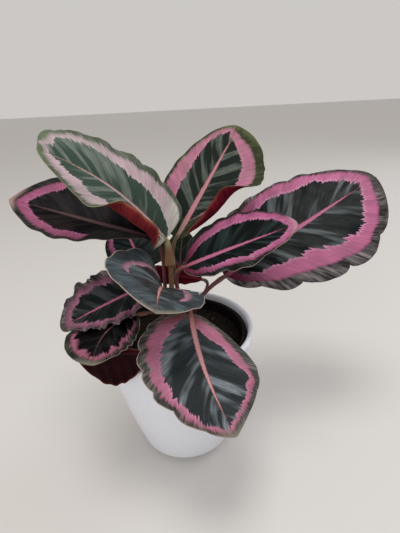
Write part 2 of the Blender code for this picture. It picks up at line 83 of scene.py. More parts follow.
# ------------------------------------------------------------------ node wiring
class Wiring:
    """A node tree being wired: each short method adds a node and gives back what comes out of it."""

    def __init__(self, tree: NodeTree) -> None:
        """Keep the tree that the nodes go into."""
        self.tree = tree

    def feed(self, socket: NodeSocket, value: object) -> None:
        """Link an output to a socket, or set the socket to a plain value.

        Args:
            socket: The socket.
            value: An output, a number, a vector or a colour.
        """
        if isinstance(value, NodeSocket):
            self.tree.links.new(value, socket)
        elif isinstance(value, tuple) and len(value) == 3 and socket.type == "RGBA":
            socket.default_value = (*value, 1.0)
        else:
            socket.default_value = value

    def add(self, kind: str, inputs: dict | None = None, **settings: object) -> Node:
        """Add a node.

        Args:
            kind: The node's Blender type.
            inputs: Values or outputs for its sockets, by name or number.
            **settings: The node's own properties.

        Returns:
            The node.
        """
        node = self.tree.nodes.new(kind)
        for key, value in settings.items():
            setattr(node, key, value)
        for key, value in (inputs or {}).items():
            self.feed(node.inputs[key], value)
        return node

    def output(self, kind: str, inputs: dict | None = None, **settings: object) -> NodeSocket:
        """Add a node and give back its first output."""
        return self.add(kind, inputs, **settings).outputs[0]

    def maths(self, operation: str, *values: object, clamp: bool = False) -> NodeSocket:
        """One Math node on up to three values."""
        inputs = dict(enumerate(values))
        return self.output("ShaderNodeMath", inputs, operation=operation, use_clamp=clamp)

    def times(self, first: object, second: object) -> NodeSocket:
        """One value times another."""
        return self.maths("MULTIPLY", first, second)

    def times_plus(self, first: object, second: object, third: object) -> NodeSocket:
        """One value times another, plus a third."""
        return self.maths("MULTIPLY_ADD", first, second, third)

    def smooth(self, value: object, low: object, high: object) -> NodeSocket:
        """0 below low, 1 above high, with a smooth step between."""
        inputs = {"Value": value, "From Min": low, "From Max": high}
        return self.output("ShaderNodeMapRange", inputs, interpolation_type="SMOOTHSTEP")

    def spread(self, value: object, low: object, high: object) -> NodeSocket:
        """A 0..1 value spread linearly over low..high."""
        return self.output("ShaderNodeMapRange", {"Value": value, "To Min": low, "To Max": high})

    def mix(self, factor: object, first: object, second: object) -> NodeSocket:
        """Blend two colours."""
        return self.add("ShaderNodeMix", {0: factor, 6: first, 7: second}, data_type="RGBA").outputs[2]

    def noise(self, vector: object, scale: object, detail: float = 2.0) -> NodeSocket:
        """Soft noise from 0 to 1."""
        return self.output("ShaderNodeTexNoise", {"Vector": vector, "Scale": scale, "Detail": detail})

    def teeth(self, where: object, count: object) -> NodeSocket:
        """Uneven teeth along one coordinate, from about -1 to 1."""
        rough = self.output("ShaderNodeTexNoise", {"W": where, "Scale": count, "Detail": 1.0},
                            noise_dimensions="1D")
        return self.times_plus(rough, 4.0, -2.0)

    def vector(self, x: object, y: object, z: object) -> NodeSocket:
        """Three values as a vector."""
        return self.output("ShaderNodeCombineXYZ", {0: x, 1: y, 2: z})

    def split(self, vector: object) -> bpy_prop_collection:
        """A vector's three values."""
        return self.add("ShaderNodeSeparateXYZ", {0: vector}).outputs

    def attribute(self, name: str) -> Node:
        """What a piece's own attribute holds."""
        return self.add("ShaderNodeAttribute", attribute_name=name)

    def object_place(self) -> NodeSocket:
        """Object coordinates."""
        return self.add("ShaderNodeTexCoord").outputs["Object"]

    def stretched(self, scale: Point) -> NodeSocket:
        """Object coordinates, scaled along each axis."""
        return self.output("ShaderNodeMapping", {"Vector": self.object_place(), "Scale": scale})

    def group(self, tree: NodeTree, **inputs: object) -> bpy_prop_collection:
        """Place a node group.

        Args:
            tree: The group.
            **inputs: Values or outputs for its inputs, with _ for each space.

        Returns:
            The placed group's outputs.
        """
        node = self.add("ShaderNodeGroup", node_tree=tree)
        for name, value in inputs.items():
            self.feed(node.inputs[name.replace("_", " ")], value)
        return node.outputs


def open_group(name: str, inputs: dict, outputs: tuple[str, ...]) -> tuple:
    """Start a shader node group.

    Args:
        name: The group's name.
        inputs: Default value of each input, a number or a vector.
        outputs: Names of the outputs, all of them numbers.

    Returns:
        The wiring, the group's own inputs and the sockets it hands out.
    """
    tree = bpy.data.node_groups.new(name, "ShaderNodeTree")
    for label, value in inputs.items():
        kind = "NodeSocketVector" if isinstance(value, tuple) else "NodeSocketFloat"
        socket = tree.interface.new_socket(label, in_out="INPUT", socket_type=kind)
        socket.default_value = value
    for label in outputs:
        tree.interface.new_socket(label, in_out="OUTPUT", socket_type="NodeSocketFloat")
    wiring = Wiring(tree)
    return wiring, wiring.add("NodeGroupInput").outputs, wiring.add("NodeGroupOutput").inputs


class Patterns:
    """The shader groups that several finishes share."""

    def __init__(self) -> None:
        """Build every group once."""
        self.mottle = self._mottle()
        self.veining = self._veining()
        self.ring = self._ring()
        self.specks = self._specks()

    @staticmethod
    def _mottle() -> NodeTree:
        """Uneven cloudiness at two scales, for glaze, plastic, soil and stalks.

        Returns:
            The tree.
        """
        wiring, given, out = open_group(
            "mottle", {"Vector": (0.0, 0.0, 0.0), "Scale": 40.0, "Contrast": 0.5}, ("Value",))
        broad = wiring.noise(given["Vector"], given["Scale"], 3.0)
        fine = wiring.noise(given["Vector"], wiring.times(given["Scale"], 5.3), 2.0)
        both = wiring.times_plus(fine, 0.35, wiring.times(broad, 0.65))
        half = wiring.times(given["Contrast"], 0.5)
        low = wiring.maths("SUBTRACT", 0.5, half)
        high = wiring.maths("ADD", 0.5, half)
        wiring.feed(out["Value"], wiring.smooth(both, low, high))
        return wiring.tree

    @staticmethod
    def _run(wiring: Wiring, given: bpy_prop_collection) -> NodeSocket:
        """Place along the veins, with the blade's two halves set apart."""
        side = wiring.maths("GREATER_THAN", given["Across"], 0.0)
        return wiring.maths("ADD", given["Vein"], wiring.times(side, 3.7))

    @staticmethod
    def _veining() -> NodeTree:
        """Broad bands and fine lines that run out along a blade's side veins.

        Returns:
            The tree.
        """
        wiring, given, out = open_group(
            "veining", {"Vein": 0.0, "Across": 0.0, "Bands": 9.0, "Lines": 90.0}, ("Bands", "Lines"))
        run = Patterns._run(wiring, given)
        reach = wiring.maths("ABSOLUTE", given["Across"])
        where = wiring.vector(wiring.times(run, given["Bands"]), reach, 0.0)
        bands = wiring.smooth(wiring.noise(where, 1.0, 2.0), 0.40, 0.64)
        where = wiring.vector(wiring.times(run, given["Lines"]), wiring.times(reach, 3.0), 1.7)
        wiring.feed(out["Bands"], bands)
        wiring.feed(out["Lines"], wiring.smooth(wiring.noise(where, 1.0, 3.0), 0.34, 0.66))
        return wiring.tree

    @staticmethod
    def _ring() -> NodeTree:
        """A painted ring: brushed away on its outer side, cut into fine teeth on its inner side.

        Returns:
            The tree.
        """
        wiring, given, out = open_group(
            "painted ring",
            {"Outer": 0.0, "Inner": 0.0, "Vein": 0.0, "Across": 0.0, "Teeth": 60.0, "Depth": 1.6,
             "Blur": 1.0},
            ("Mask", "Glow", "Dull"))
        run = Patterns._run(wiring, given)
        broad = wiring.teeth(run, wiring.times(given["Teeth"], 0.16))
        comb = wiring.teeth(run, given["Teeth"])
        fine = wiring.teeth(run, wiring.times(given["Teeth"], 2.7))
        cut = wiring.times_plus(fine, 0.35, wiring.times(comb, 0.75))
        cut = wiring.times_plus(broad, 0.8, cut)
        edge = wiring.times_plus(cut, given["Depth"], given["Inner"])
        within = wiring.smooth(edge, 0.30, -0.30)
        where = wiring.vector(wiring.times(run, 75.0), wiring.times(given["Across"], 3.0), 0.0)
        brushed = wiring.times_plus(wiring.noise(where, 1.0, 3.0), 5.0, -2.5)
        brushed = wiring.times_plus(brushed, given["Blur"], given["Outer"])
        past = wiring.smooth(brushed, wiring.times(given["Blur"], -0.9), given["Blur"])
        wiring.feed(out["Mask"], wiring.times(within, past))
        wiring.feed(out["Glow"], wiring.smooth(edge, -3.2, -0.2))
        wiring.feed(out["Dull"], wiring.smooth(brushed, wiring.times(given["Blur"], 3.2), 0.0))
        return wiring.tree

    @staticmethod
    def _specks() -> NodeTree:
        """Scattered round specks, for blemishes on blades and grit on soil and plastic.

        Returns:
            The tree.
        """
        wiring, given, out = open_group(
            "specks", {"Vector": (0.0, 0.0, 0.0), "Scale": 90.0, "Size": 0.10, "Share": 0.05}, ("Mask",))
        cells = wiring.add("ShaderNodeTexVoronoi", {"Vector": given["Vector"], "Scale": given["Scale"]})
        chosen = wiring.split(cells.outputs["Color"])[0]
        chosen = wiring.maths("LESS_THAN", chosen, given["Share"])
        small = wiring.times(given["Size"], 0.6)
        near = wiring.smooth(cells.outputs["Distance"], given["Size"], small)
        wiring.feed(out["Mask"], wiring.times(chosen, near))
        return wiring.tree


PATTERNS = Patterns()


# --------------------------------------------------------------------- finishes
class Skin(Wiring):
    """A Principled material being wired."""

    def __init__(self, name: str, colour: Colour, roughness: float, **sockets: float) -> None:
        """Start the material.

        Args:
            name: Its name.
            colour: Its plain colour, also shown where nodes aren't read.
            roughness: Its plain roughness.
            **sockets: Constants for other sockets, with _ for each space.
        """
        self.material = bpy.data.materials.new(name)
        self.material.use_nodes = True
        self.material.diffuse_color = (*colour, 1.0)
        super().__init__(self.material.node_tree)
        self.inputs = self.tree.nodes["Principled BSDF"].inputs
        self.feed(self.inputs["Base Color"], colour)
        self.feed(self.inputs["Roughness"], roughness)
        for label, value in sockets.items():
            self.feed(self.inputs[label.replace("_", " ")], value)

    def cloud(self, scale: float, contrast: float) -> NodeSocket:
        """Soft cloudiness all over the piece, from 0 to 1."""
        return self.group(PATTERNS.mottle, Vector=self.object_place(), Scale=scale, Contrast=contrast)[0]

    def specks(self, scale: float, size: float, share: float) -> NodeSocket:
        """Scattered specks: 1 in each speck, 0 between them."""
        where = self.object_place()
        return self.group(PATTERNS.specks, Vector=where, Scale=scale, Size=size, Share=share)[0]

    def roughen(self, height: object, strength: float, depth: float) -> None:
        """Bump the skin by that depth in metres."""
        bump = self.add("ShaderNodeBump", {"Height": height, "Strength": strength, "Distance": depth})
        self.feed(self.inputs["Normal"], bump.outputs[0])

    def finish(self, colour: object, cloud: object, gloss: Pair) -> Material:
        """Feed the skin its colour and its gloss.

        Args:
            colour: The colour all over it.
            cloud: What makes the gloss uneven, from 0 to 1.
            gloss: Lowest and highest roughness.

        Returns:
            The finished material.
        """
        self.feed(self.inputs["Base Color"], colour)
        self.feed(self.inputs["Roughness"], self.spread(cloud, *gloss))
        return self.material


@dataclass(frozen=True)
class GlazeFinish:
    """White satin glaze with a faint cloudiness and a slightly uneven gloss."""

    name: str = "white_glaze"
    colour: Colour = (0.80, 0.82, 0.885)
    shade: Colour = (0.77, 0.79, 0.860)
    clouds: Pair = (26.0, 0.7)       # scale and contrast
    peel: float = 420.0              # scale of the fine unevenness
    gloss: Pair = (0.27, 0.37)

    def material(self) -> Material:
        """The glaze as a material.

        Returns:
            The material.
        """
        skin = Skin(self.name, self.colour, self.gloss[0])
        cloud = skin.cloud(*self.clouds)
        skin.roughen(skin.noise(skin.object_place(), self.peel), 0.10, 0.0004)
        return skin.finish(skin.mix(cloud, self.colour, self.shade), cloud, self.gloss)


@dataclass(frozen=True)
class PlasticFinish:
    """Thin black plastic, dulled by fine scuffs and a little dried soil."""

    name: str = "black_plastic"
    colour: Colour = (0.004, 0.0035, 0.0035)
    dust: Colour = (0.028, 0.016, 0.013)
    clouds: Pair = (60.0, 0.4)
    grit_scale: float = 500.0
    grit_size: float = 0.35
    grit_share: float = 0.10
    scuffs: float = 1500.0
    gloss: Pair = (0.38, 0.62)

    def material(self) -> Material:
        """The plastic as a material.

        Returns:
            The material.
        """
        skin = Skin(self.name, self.colour, self.gloss[0], Specular_IOR_Level=0.06)
        cloud = skin.cloud(*self.clouds)
        grit = skin.specks(self.grit_scale, self.grit_size, self.grit_share)
        dusty = skin.maths("MULTIPLY_ADD", cloud, 0.22, skin.times(grit, 0.5), clamp=True)
        skin.roughen(skin.noise(skin.object_place(), self.scuffs), 0.25, 0.0003)
        return skin.finish(skin.mix(dusty, self.colour, self.dust), cloud, self.gloss)


@dataclass(frozen=True)
class EarthFinish:
    """Loose growing mix or a kind of grain in it: damp, matt and granular."""

    name: str
    dark: Colour
    light: Colour
    grit: Colour
    grit_share: float = 0.06
    scale: float = 260.0
    contrast: float = 0.35
    gloss: Pair = (0.78, 0.97)

    def material(self) -> Material:
        """The mix as a material.

        Returns:
            The material.
        """
        skin = Skin(self.name, self.dark, 0.93, Specular_IOR_Level=0.15)
        cloud = skin.cloud(self.scale, self.contrast)
        grit = skin.specks(self.scale * 3.0, 0.4, self.grit_share)
        skin.roughen(cloud, 0.9, 0.0012)
        colour = skin.mix(grit, skin.mix(cloud, self.dark, self.light), self.grit)
        return skin.finish(colour, cloud, self.gloss)


@dataclass(frozen=True)
class StalkFinish:
    """Living stalk: colour shifts from the sheathed foot to the joint, with fine lengthwise streaks."""

    name: str
    foot: Colour
    middle: Colour
    joint: Colour
    streak: Colour
    gloss: Pair = (0.34, 0.50)

    STRETCH = (1.0, 1.0, 0.06)       # draws the streaks out along the stalk

    def material(self) -> Material:
        """The stalk's skin as a material.

        Returns:
            The material.
        """
        skin = Skin(self.name, self.middle, self.gloss[0])
        run = skin.attribute(STALK_RUN).outputs["Fac"]
        where = skin.stretched(self.STRETCH)
        streaks = skin.group(PATTERNS.mottle, Vector=where, Scale=900.0, Contrast=0.5)[0]
        patches = skin.cloud(120.0, 0.6)
        colour = skin.mix(skin.smooth(run, 0.08, 0.50), self.foot, self.middle)
        colour = skin.mix(skin.smooth(run, 0.78, 0.90), colour, self.joint)
        colour = skin.mix(skin.times(streaks, 0.55), colour, self.streak)
        colour = skin.mix(skin.times(patches, 0.25), colour, self.foot)
        skin.roughen(streaks, 0.35, 0.0003)
        return skin.finish(colour, patches, self.gloss)


@dataclass(frozen=True)
class BladeFinish:
    """Upper face of a blade: dark centre with painted sheen and shade, painted ring, outer zone, midrib
    stripe and fine hem.
    """

    name: str
    deep: Colour = (0.004, 0.006, 0.006)
    # painted sheen: the lighter centre colour laid along the pleats and side veins stands in for the
    # lamps' reflection
    pleat_sheen: Colour = (0.030, 0.042, 0.042)
    ring: Colour = (0.44, 0.12, 0.25)
    glow: Colour = (0.62, 0.24, 0.42)
    dull: Colour = (0.16, 0.055, 0.085)
    ring_foot: Colour = (0.12, 0.016, 0.040)
    zone: Colour = (0.008, 0.010, 0.009)
    # paler streaks of the outer zone: partly its own paler green, partly painted sheen
    zone_pale_and_sheen: Colour = (0.040, 0.048, 0.044)
    stripe: Colour = (0.44, 0.14, 0.25)
    stripe_foot: Colour = (0.34, 0.09, 0.13)
    stripe_side: Colour = (0.16, 0.040, 0.060)
    hem: Colour = (0.36, 0.24, 0.21)
    tip: Colour = (0.50, 0.26, 0.34)
    blemish: Colour = (0.36, 0.28, 0.17)
    blemishes: float = 0.03
    foot_end: float = 0.34
    bands: float = 13.0
    lines: float = 100.0
    teeth: float = 62.0
    depth: float = 1.3
    blur: float = 0.9
    gloss: Pair = (0.28, 0.42)
    shine: float = 0.05

    def material(self) -> Material:
        """The upper face as a material.

        Returns:
            The material.
        """
        skin = Skin(self.name, self.deep, self.gloss[0], Specular_IOR_Level=self.shine)
        vein, across, along = skin.split(skin.attribute(RUN).outputs["Vector"])
        outer, inner, stripe = skin.split(skin.attribute(ZONES).outputs["Vector"])
        rim, hem, swell = skin.split(skin.attribute(RIM).outputs["Vector"])
        veining = skin.group(PATTERNS.veining, Vein=vein, Across=across, Bands=self.bands,
                             Lines=self.lines)
        ring = skin.group(PATTERNS.ring, Outer=outer, Inner=inner, Vein=vein, Across=across,
                          Teeth=self.teeth, Depth=self.depth, Blur=self.blur)
        bands, lines, cloud = veining["Bands"], veining["Lines"], skin.cloud(150.0, 0.6)
        # the dark centre with painted sheen along the side veins and pleat tops, dimmed by painted shade
        # near the base, and the outer zone
        lit = skin.smooth(skin.times_plus(bands, 0.75, skin.times(swell, 0.50)), 0.46, 1.16)
        # painted shade: near the base, where the leaves crowd over it, the painted sheen fades to a
        # quarter
        clear_of_painted_shade = skin.smooth(along, 0.05, skin.maths("ADD", self.foot_end, 0.12))
        lit = skin.times(lit, skin.spread(clear_of_painted_shade, 0.25, 1.0))
        lit = skin.times(lit, skin.spread(lines, 0.55, 1.0))
        centre = skin.mix(skin.times(lit, skin.spread(cloud, 0.6, 1.0)), self.deep, self.pleat_sheen)
        # paler streaks in the outer zone along the vein bands: partly its own paler green, partly painted
        # sheen
        pale_and_sheen_streaks = skin.times_plus(bands, 0.7, skin.times(cloud, 0.3))
        zone = skin.mix(skin.times(skin.times_plus(lines, 0.8, 0.1), pale_and_sheen_streaks), self.zone, self.zone_pale_and_sheen)
        colour = skin.mix(skin.smooth(outer, -0.8, 1.2), zone, centre)
        # the painted ring
        paint = skin.mix(skin.times(ring["Glow"], 0.8), self.ring, self.glow)
        paint = skin.mix(skin.times(ring["Dull"], 0.8), paint, self.dull)
        paint = skin.mix(skin.times(lines, 0.45), paint, self.ring)
        paint = skin.mix(skin.times(bands, 0.35), paint, self.dull)
        paint = skin.mix(skin.smooth(along, 0.02, self.foot_end), self.ring_foot, paint)
        colour = skin.mix(skin.times(ring["Mask"], skin.spread(lines, 0.80, 1.0)), colour, paint)
        # the midrib stripe, the tip, the hem and the blemishes
        frayed = skin.times_plus(lines, 0.5, stripe)
        rib = skin.mix(skin.smooth(along, 0.0, 0.22), self.stripe_foot, self.stripe)
        colour = skin.mix(skin.smooth(frayed, 0.90, 0.20), colour, self.stripe_side)
        colour = skin.mix(skin.smooth(frayed, 0.35, -0.25), colour, rib)
        end = skin.times(skin.smooth(along, 0.90, 0.985), skin.smooth(rim, 6.0, 1.0))
        colour = skin.mix(skin.times(end, 0.75), colour, self.tip)
        colour = skin.mix(skin.smooth(rim, hem, skin.times(hem, 0.35)), colour, self.hem)
        colour = skin.mix(skin.specks(80.0, 0.09, self.blemishes), colour, self.blemish)
        cells = skin.noise(skin.object_place(), 2600.0, 1.0)
        skin.roughen(skin.times_plus(lines, 0.7, skin.times(cells, 0.3)), 0.30, 0.0004)
        return skin.finish(colour, cloud, self.gloss)


@dataclass(frozen=True)
class UndersideFinish:
    """Lower face of a blade: wine red, paler along the midrib, browner and brighter near the margin."""

    name: str
    # the default colours are a darkened wine red: painted shade for undersides that lie in shadow
    body: Colour = (0.006, 0.0012, 0.0022)
    light: Colour = (0.026, 0.0036, 0.0064)
    rib: Colour = (0.040, 0.008, 0.010)
    rim: Colour = (0.070, 0.012, 0.009)
    gloss: Pair = (0.45, 0.60)

    def material(self) -> Material:
        """The lower face as a material.

        Returns:
            The material.
        """
        skin = Skin(self.name, self.body, self.gloss[0], Specular_IOR_Level=0.02)
        vein, across, _ = skin.split(skin.attribute(RUN).outputs["Vector"])
        stripe = skin.split(skin.attribute(ZONES).outputs["Vector"])[2]
        rim = skin.split(skin.attribute(RIM).outputs["Vector"])[0]
        lines = skin.group(PATTERNS.veining, Vein=vein, Across=across, Bands=14.0, Lines=110.0)["Lines"]
        cloud = skin.cloud(120.0, 0.6)
        colour = skin.mix(skin.times_plus(lines, 0.5, skin.times(cloud, 0.4)), self.body, self.light)
        colour = skin.mix(skin.smooth(rim, 3.2, 0.2), colour, self.rim)
        colour = skin.mix(skin.smooth(stripe, 0.5, -0.4), colour, self.rib)
        skin.roughen(lines, 0.40, 0.0004)
        return skin.finish(colour, cloud, self.gloss)


@dataclass(frozen=True)
class EdgeFinish:
    """The blade's thin cut-looking edge, where both skins meet."""

    name: str
    colour: Colour
    shade: Colour

    def material(self) -> Material:
        """The edge as a material.

        Returns:
            The material.
        """
        skin = Skin(self.name, self.colour, 0.45)
        cloud = skin.cloud(220.0, 0.5)
        return skin.finish(skin.mix(cloud, self.colour, self.shade), cloud, (0.38, 0.55))


class Coat(Enum):
    """The kinds of blade edge, underside and stalk, by age and by how the colour has turned; for the
    underside, also whether it is darkened as painted shade.
    """

    YOUNG = "young"
    PLUM = "plum"
    TEAL = "teal"
    OLIVE = "olive"


# In each finish below, the lighter centre colour is painted sheen along the pleats, and the lighter
# outer-zone colour is partly painted sheen.
PLUM = BladeFinish("blade_plum", pleat_sheen=(0.026, 0.040, 0.042))
GREY = replace(
    PLUM, name="blade_grey", tip=(0.060, 0.050, 0.048), deep=(0.005, 0.008, 0.008),
    pleat_sheen=(0.150, 0.172, 0.182), zone=(0.012, 0.012, 0.011), zone_pale_and_sheen=(0.330, 0.280, 0.300),
    ring=(0.50, 0.15, 0.29), glow=(0.72, 0.34, 0.52), foot_end=0.24, teeth=48.0, depth=2.4, shine=0.08)
ASH = replace(
    GREY, name="blade_ash", pleat_sheen=(0.070, 0.078, 0.082), ring=(0.28, 0.10, 0.17),
    glow=(0.44, 0.19, 0.29), dull=(0.12, 0.07, 0.08), teeth=45.0, depth=2.0, blur=1.6)
TEAL = replace(
    PLUM, name="blade_teal", deep=(0.017, 0.022, 0.024), pleat_sheen=(0.270, 0.310, 0.345),
    ring=(0.48, 0.16, 0.26), glow=(0.66, 0.27, 0.42), dull=(0.36, 0.125, 0.180),
    ring_foot=(0.16, 0.050, 0.050), zone=(0.022, 0.022, 0.019), zone_pale_and_sheen=(0.230, 0.205, 0.190),
    stripe=(0.58, 0.29, 0.31), stripe_foot=(0.42, 0.16, 0.14), foot_end=0.14,
    stripe_side=(0.22, 0.070, 0.060), hem=(0.42, 0.33, 0.27), tip=(0.22, 0.21, 0.16), bands=8.5,
    blur=1.6, depth=1.8, gloss=(0.24, 0.38), shine=0.18)
# painted shade: a darker copy of the teal finish for a leaf in the other leaves' shadow, on a leaf darker
# of its own too
TEAL_SHADED = replace(
    TEAL, name="blade_dusk", deep=(0.0015, 0.0008, 0.001), pleat_sheen=(0.012, 0.014, 0.016),
    zone=(0.014, 0.016, 0.012), zone_pale_and_sheen=(0.090, 0.092, 0.082), ring=(0.30, 0.10, 0.15),
    glow=(0.42, 0.15, 0.24), stripe=(0.16, 0.07, 0.07), stripe_foot=(0.05, 0.02, 0.02),
    stripe_side=(0.03, 0.015, 0.015), shine=0.04)
SLATE = replace(
    TEAL, name="blade_slate", pleat_sheen=(0.150, 0.190, 0.215), ring=(0.46, 0.20, 0.28),
    glow=(0.60, 0.30, 0.40), dull=(0.20, 0.12, 0.13), zone=(0.022, 0.030, 0.033),
    zone_pale_and_sheen=(0.125, 0.165, 0.185), hem=(0.50, 0.38, 0.33))
SHADED = replace(
    PLUM, name="blade_shaded", deep=(0.003, 0.0022, 0.003), pleat_sheen=(0.022, 0.015, 0.016),
    ring=(0.36, 0.10, 0.20), glow=(0.48, 0.17, 0.30), stripe=(0.085, 0.050, 0.050),
    stripe_foot=(0.060, 0.015, 0.020), stripe_side=(0.030, 0.018, 0.020), zone=(0.012, 0.013, 0.012),
    zone_pale_and_sheen=(0.050, 0.050, 0.048), tip=(0.45, 0.28, 0.26), hem=(0.20, 0.13, 0.12), shine=0.04)
OLIVE = replace(
    PLUM, name="blade_olive", deep=(0.014, 0.020, 0.016), pleat_sheen=(0.150, 0.172, 0.150),
    ring=(0.50, 0.19, 0.29), glow=(0.60, 0.28, 0.39), dull=(0.20, 0.13, 0.11),
    ring_foot=(0.30, 0.13, 0.18), zone=(0.030, 0.038, 0.018), zone_pale_and_sheen=(0.085, 0.095, 0.050),
    stripe=(0.52, 0.23, 0.27), stripe_foot=(0.50, 0.36, 0.28), stripe_side=(0.16, 0.080, 0.070),
    hem=(0.10, 0.10, 0.05), tip=(0.12, 0.14, 0.06), depth=1.1)
MOSS = replace(
    OLIVE, name="blade_moss", deep=(0.018, 0.026, 0.020), pleat_sheen=(0.060, 0.072, 0.060),
    ring=(0.070, 0.070, 0.060), glow=(0.10, 0.090, 0.080), dull=(0.040, 0.045, 0.035),
    stripe=(0.20, 0.14, 0.12))
YOUNG = replace(
    OLIVE, name="blade_young", deep=(0.044, 0.072, 0.056), pleat_sheen=(0.205, 0.240, 0.205),
    ring=(0.55, 0.40, 0.44), glow=(0.65, 0.51, 0.55), dull=(0.24, 0.23, 0.20),
    ring_foot=(0.56, 0.55, 0.50), zone=(0.060, 0.076, 0.052), zone_pale_and_sheen=(0.25, 0.25, 0.21),
    stripe=(0.56, 0.36, 0.36), stripe_foot=(0.46, 0.42, 0.34), stripe_side=(0.20, 0.15, 0.13),
    hem=(0.26, 0.28, 0.14), tip=(0.12, 0.17, 0.09), foot_end=0.25, depth=1.5, blur=1.2, blemishes=0.01)


class Wardrobe:
    """Every material of the leaves, made once."""

    UPPER = (PLUM, GREY, ASH, TEAL, TEAL_SHADED, SLATE, SHADED, OLIVE, MOSS, YOUNG)
    EDGES = {
        Coat.YOUNG: EdgeFinish("edge_young", (0.26, 0.28, 0.14), (0.14, 0.16, 0.08)),
        Coat.PLUM: EdgeFinish("edge_plum", (0.14, 0.08, 0.08), (0.04, 0.03, 0.03)),
        Coat.TEAL: EdgeFinish("edge_teal", (0.36, 0.27, 0.22), (0.14, 0.11, 0.09)),
        Coat.OLIVE: EdgeFinish("edge_olive", (0.12, 0.11, 0.06), (0.06, 0.05, 0.03)),
    }
    # painted shade: the wine-red underside darkened, for the leaves whose undersides lie in shadow
    SHADED_UNDERSIDE = UndersideFinish("underside_deep")
    LOWER = {
        # brighter salmon red: partly the young leaf's paler underside, partly painted light shining
        # through it
        Coat.YOUNG: UndersideFinish("underside_young", (0.115, 0.010, 0.015), (0.20, 0.026, 0.030),
                                    (0.24, 0.070, 0.056), (0.24, 0.080, 0.050)),
        Coat.PLUM: SHADED_UNDERSIDE,
        Coat.TEAL: SHADED_UNDERSIDE,
        Coat.OLIVE: UndersideFinish("underside_wine", (0.070, 0.0045, 0.011), (0.15, 0.011, 0.026),
                                    (0.16, 0.020, 0.030), (0.17, 0.030, 0.022)),
    }
    STALKS = {
        Coat.YOUNG: StalkFinish("sheath_young", (0.16, 0.075, 0.035), (0.20, 0.095, 0.040),
                                (0.30, 0.30, 0.14), (0.30, 0.18, 0.09)),
        Coat.PLUM: StalkFinish("stalk_red", (0.050, 0.024, 0.018), (0.120, 0.022, 0.026),
                               (0.150, 0.055, 0.045), (0.190, 0.060, 0.060)),
        Coat.TEAL: StalkFinish("stalk_rust", (0.060, 0.030, 0.018), (0.130, 0.045, 0.030),
                               (0.240, 0.100, 0.070), (0.200, 0.085, 0.055)),
        Coat.OLIVE: StalkFinish("stalk_olive", (0.055, 0.042, 0.022), (0.100, 0.060, 0.030),
                                (0.160, 0.110, 0.060), (0.170, 0.090, 0.050)),
    }

    def __init__(self) -> None:
        """Make the materials."""
        self.upper = {finish.name: finish.material() for finish in self.UPPER}
        self.edge = {coat: finish.material() for coat, finish in self.EDGES.items()}
        self.stalk = {coat: finish.material() for coat, finish in self.STALKS.items()}
        lower = {finish.name: finish.material() for finish in dict.fromkeys(self.LOWER.values())}
        self.lower = {coat: lower[finish.name] for coat, finish in self.LOWER.items()}


# ------------------------------------------------------------------ mesh helpers
def unit(vectors: np.ndarray) -> np.ndarray:
    """Vectors scaled to length one along their last axis."""
    return vectors / np.linalg.norm(vectors, axis=-1, keepdims=True)


def smoothstep(values: np.ndarray, low: float | np.ndarray, high: float | np.ndarray) -> np.ndarray:
    """0 below low, 1 above high, with a smooth step between; low may be the higher of the two."""
    part = np.clip((values - low) / (high - low), 0.0, 1.0)
    return part * part * (3.0 - 2.0 * part)


def wander(samples: np.ndarray, count: int, seed: int) -> np.ndarray:
    """Smooth random line from -1 to 1.

    Args:
        samples: Where to read it, from 0 to 1.
        count: How many swings it has room for.
        seed: Which line.

    Returns:
        One value for each sample.
    """
    knots = np.random.default_rng(seed).uniform(-1.0, 1.0, count + 2)
    place = np.clip(samples, 0.0, 1.0) * count
    low = np.floor(place).astype(int)
    part = place - low
    part = part * part * (3.0 - 2.0 * part)
    return knots[low] * (1.0 - part) + knots[low + 1] * part


def link(name: str, mesh: Mesh) -> Object:
    """Put a mesh in the scene as an object at the origin.

    Args:
        name: The object's name.
        mesh: Its mesh.

    Returns:
        The object.
    """
    made = bpy.data.objects.new(name, mesh)
    bpy.context.scene.collection.objects.link(made)
    return made


def face_out(mesh: Mesh) -> None:
    """Turn a closed mesh's faces outwards and shade them smooth.

    Args:
        mesh: The mesh.
    """
    working = bmesh.new()
    working.from_mesh(mesh)
    bmesh.ops.recalc_face_normals(working, faces=working.faces)
    for face in working.faces:
        face.smooth = True
    working.to_mesh(mesh)
    working.free()


def turned(name: str, outline: list[Pair], steps: int) -> Mesh:
    """Turn a closed outline about Z.

    Args:
        name: The mesh's name.
        outline: Radius and height of each point; a radius of 0 lies on the axis.
        steps: How many sides the turning has.

    Returns:
        A closed mesh with its faces outwards.
    """
    turns = np.linspace(0.0, 2.0 * math.pi, steps, endpoint=False)
    vertices: list[Point] = []
    rings: list[list[int]] = []
    for radius, height in outline:
        start = len(vertices)
        spots = turns[:1] if radius == 0.0 else turns
        vertices += [(radius * math.cos(t), radius * math.sin(t), height) for t in spots]
        rings.append(list(range(start, len(vertices))))
    faces = []
    for here, there in zip(rings, rings[1:] + rings[:1]):
        if len(here) == 1 and len(there) == 1:
            continue
        for k in range(steps):
            j = (k + 1) % steps
            spots = ((here, k), (here, j), (there, j), (there, k))
            faces.append(tuple(dict.fromkeys(ring[spot % len(ring)] for ring, spot in spots)))
    mesh = bpy.data.meshes.new(name)
    mesh.from_pydata(vertices, [], faces)
    face_out(mesh)
    return mesh


def set_values(mesh: Mesh, name: str, values: np.ndarray) -> None:
    """Store a value for each of a mesh's points.

    Args:
        mesh: The mesh.
        name: The attribute's name.
        values: One number or one vector for each point.
    """
    kind, field_name = ("FLOAT_VECTOR", "vector") if values.ndim == 2 else ("FLOAT", "value")
    attribute = mesh.attributes.new(name, kind, "POINT")
    attribute.data.foreach_set(field_name, values.astype(np.float32).ravel())


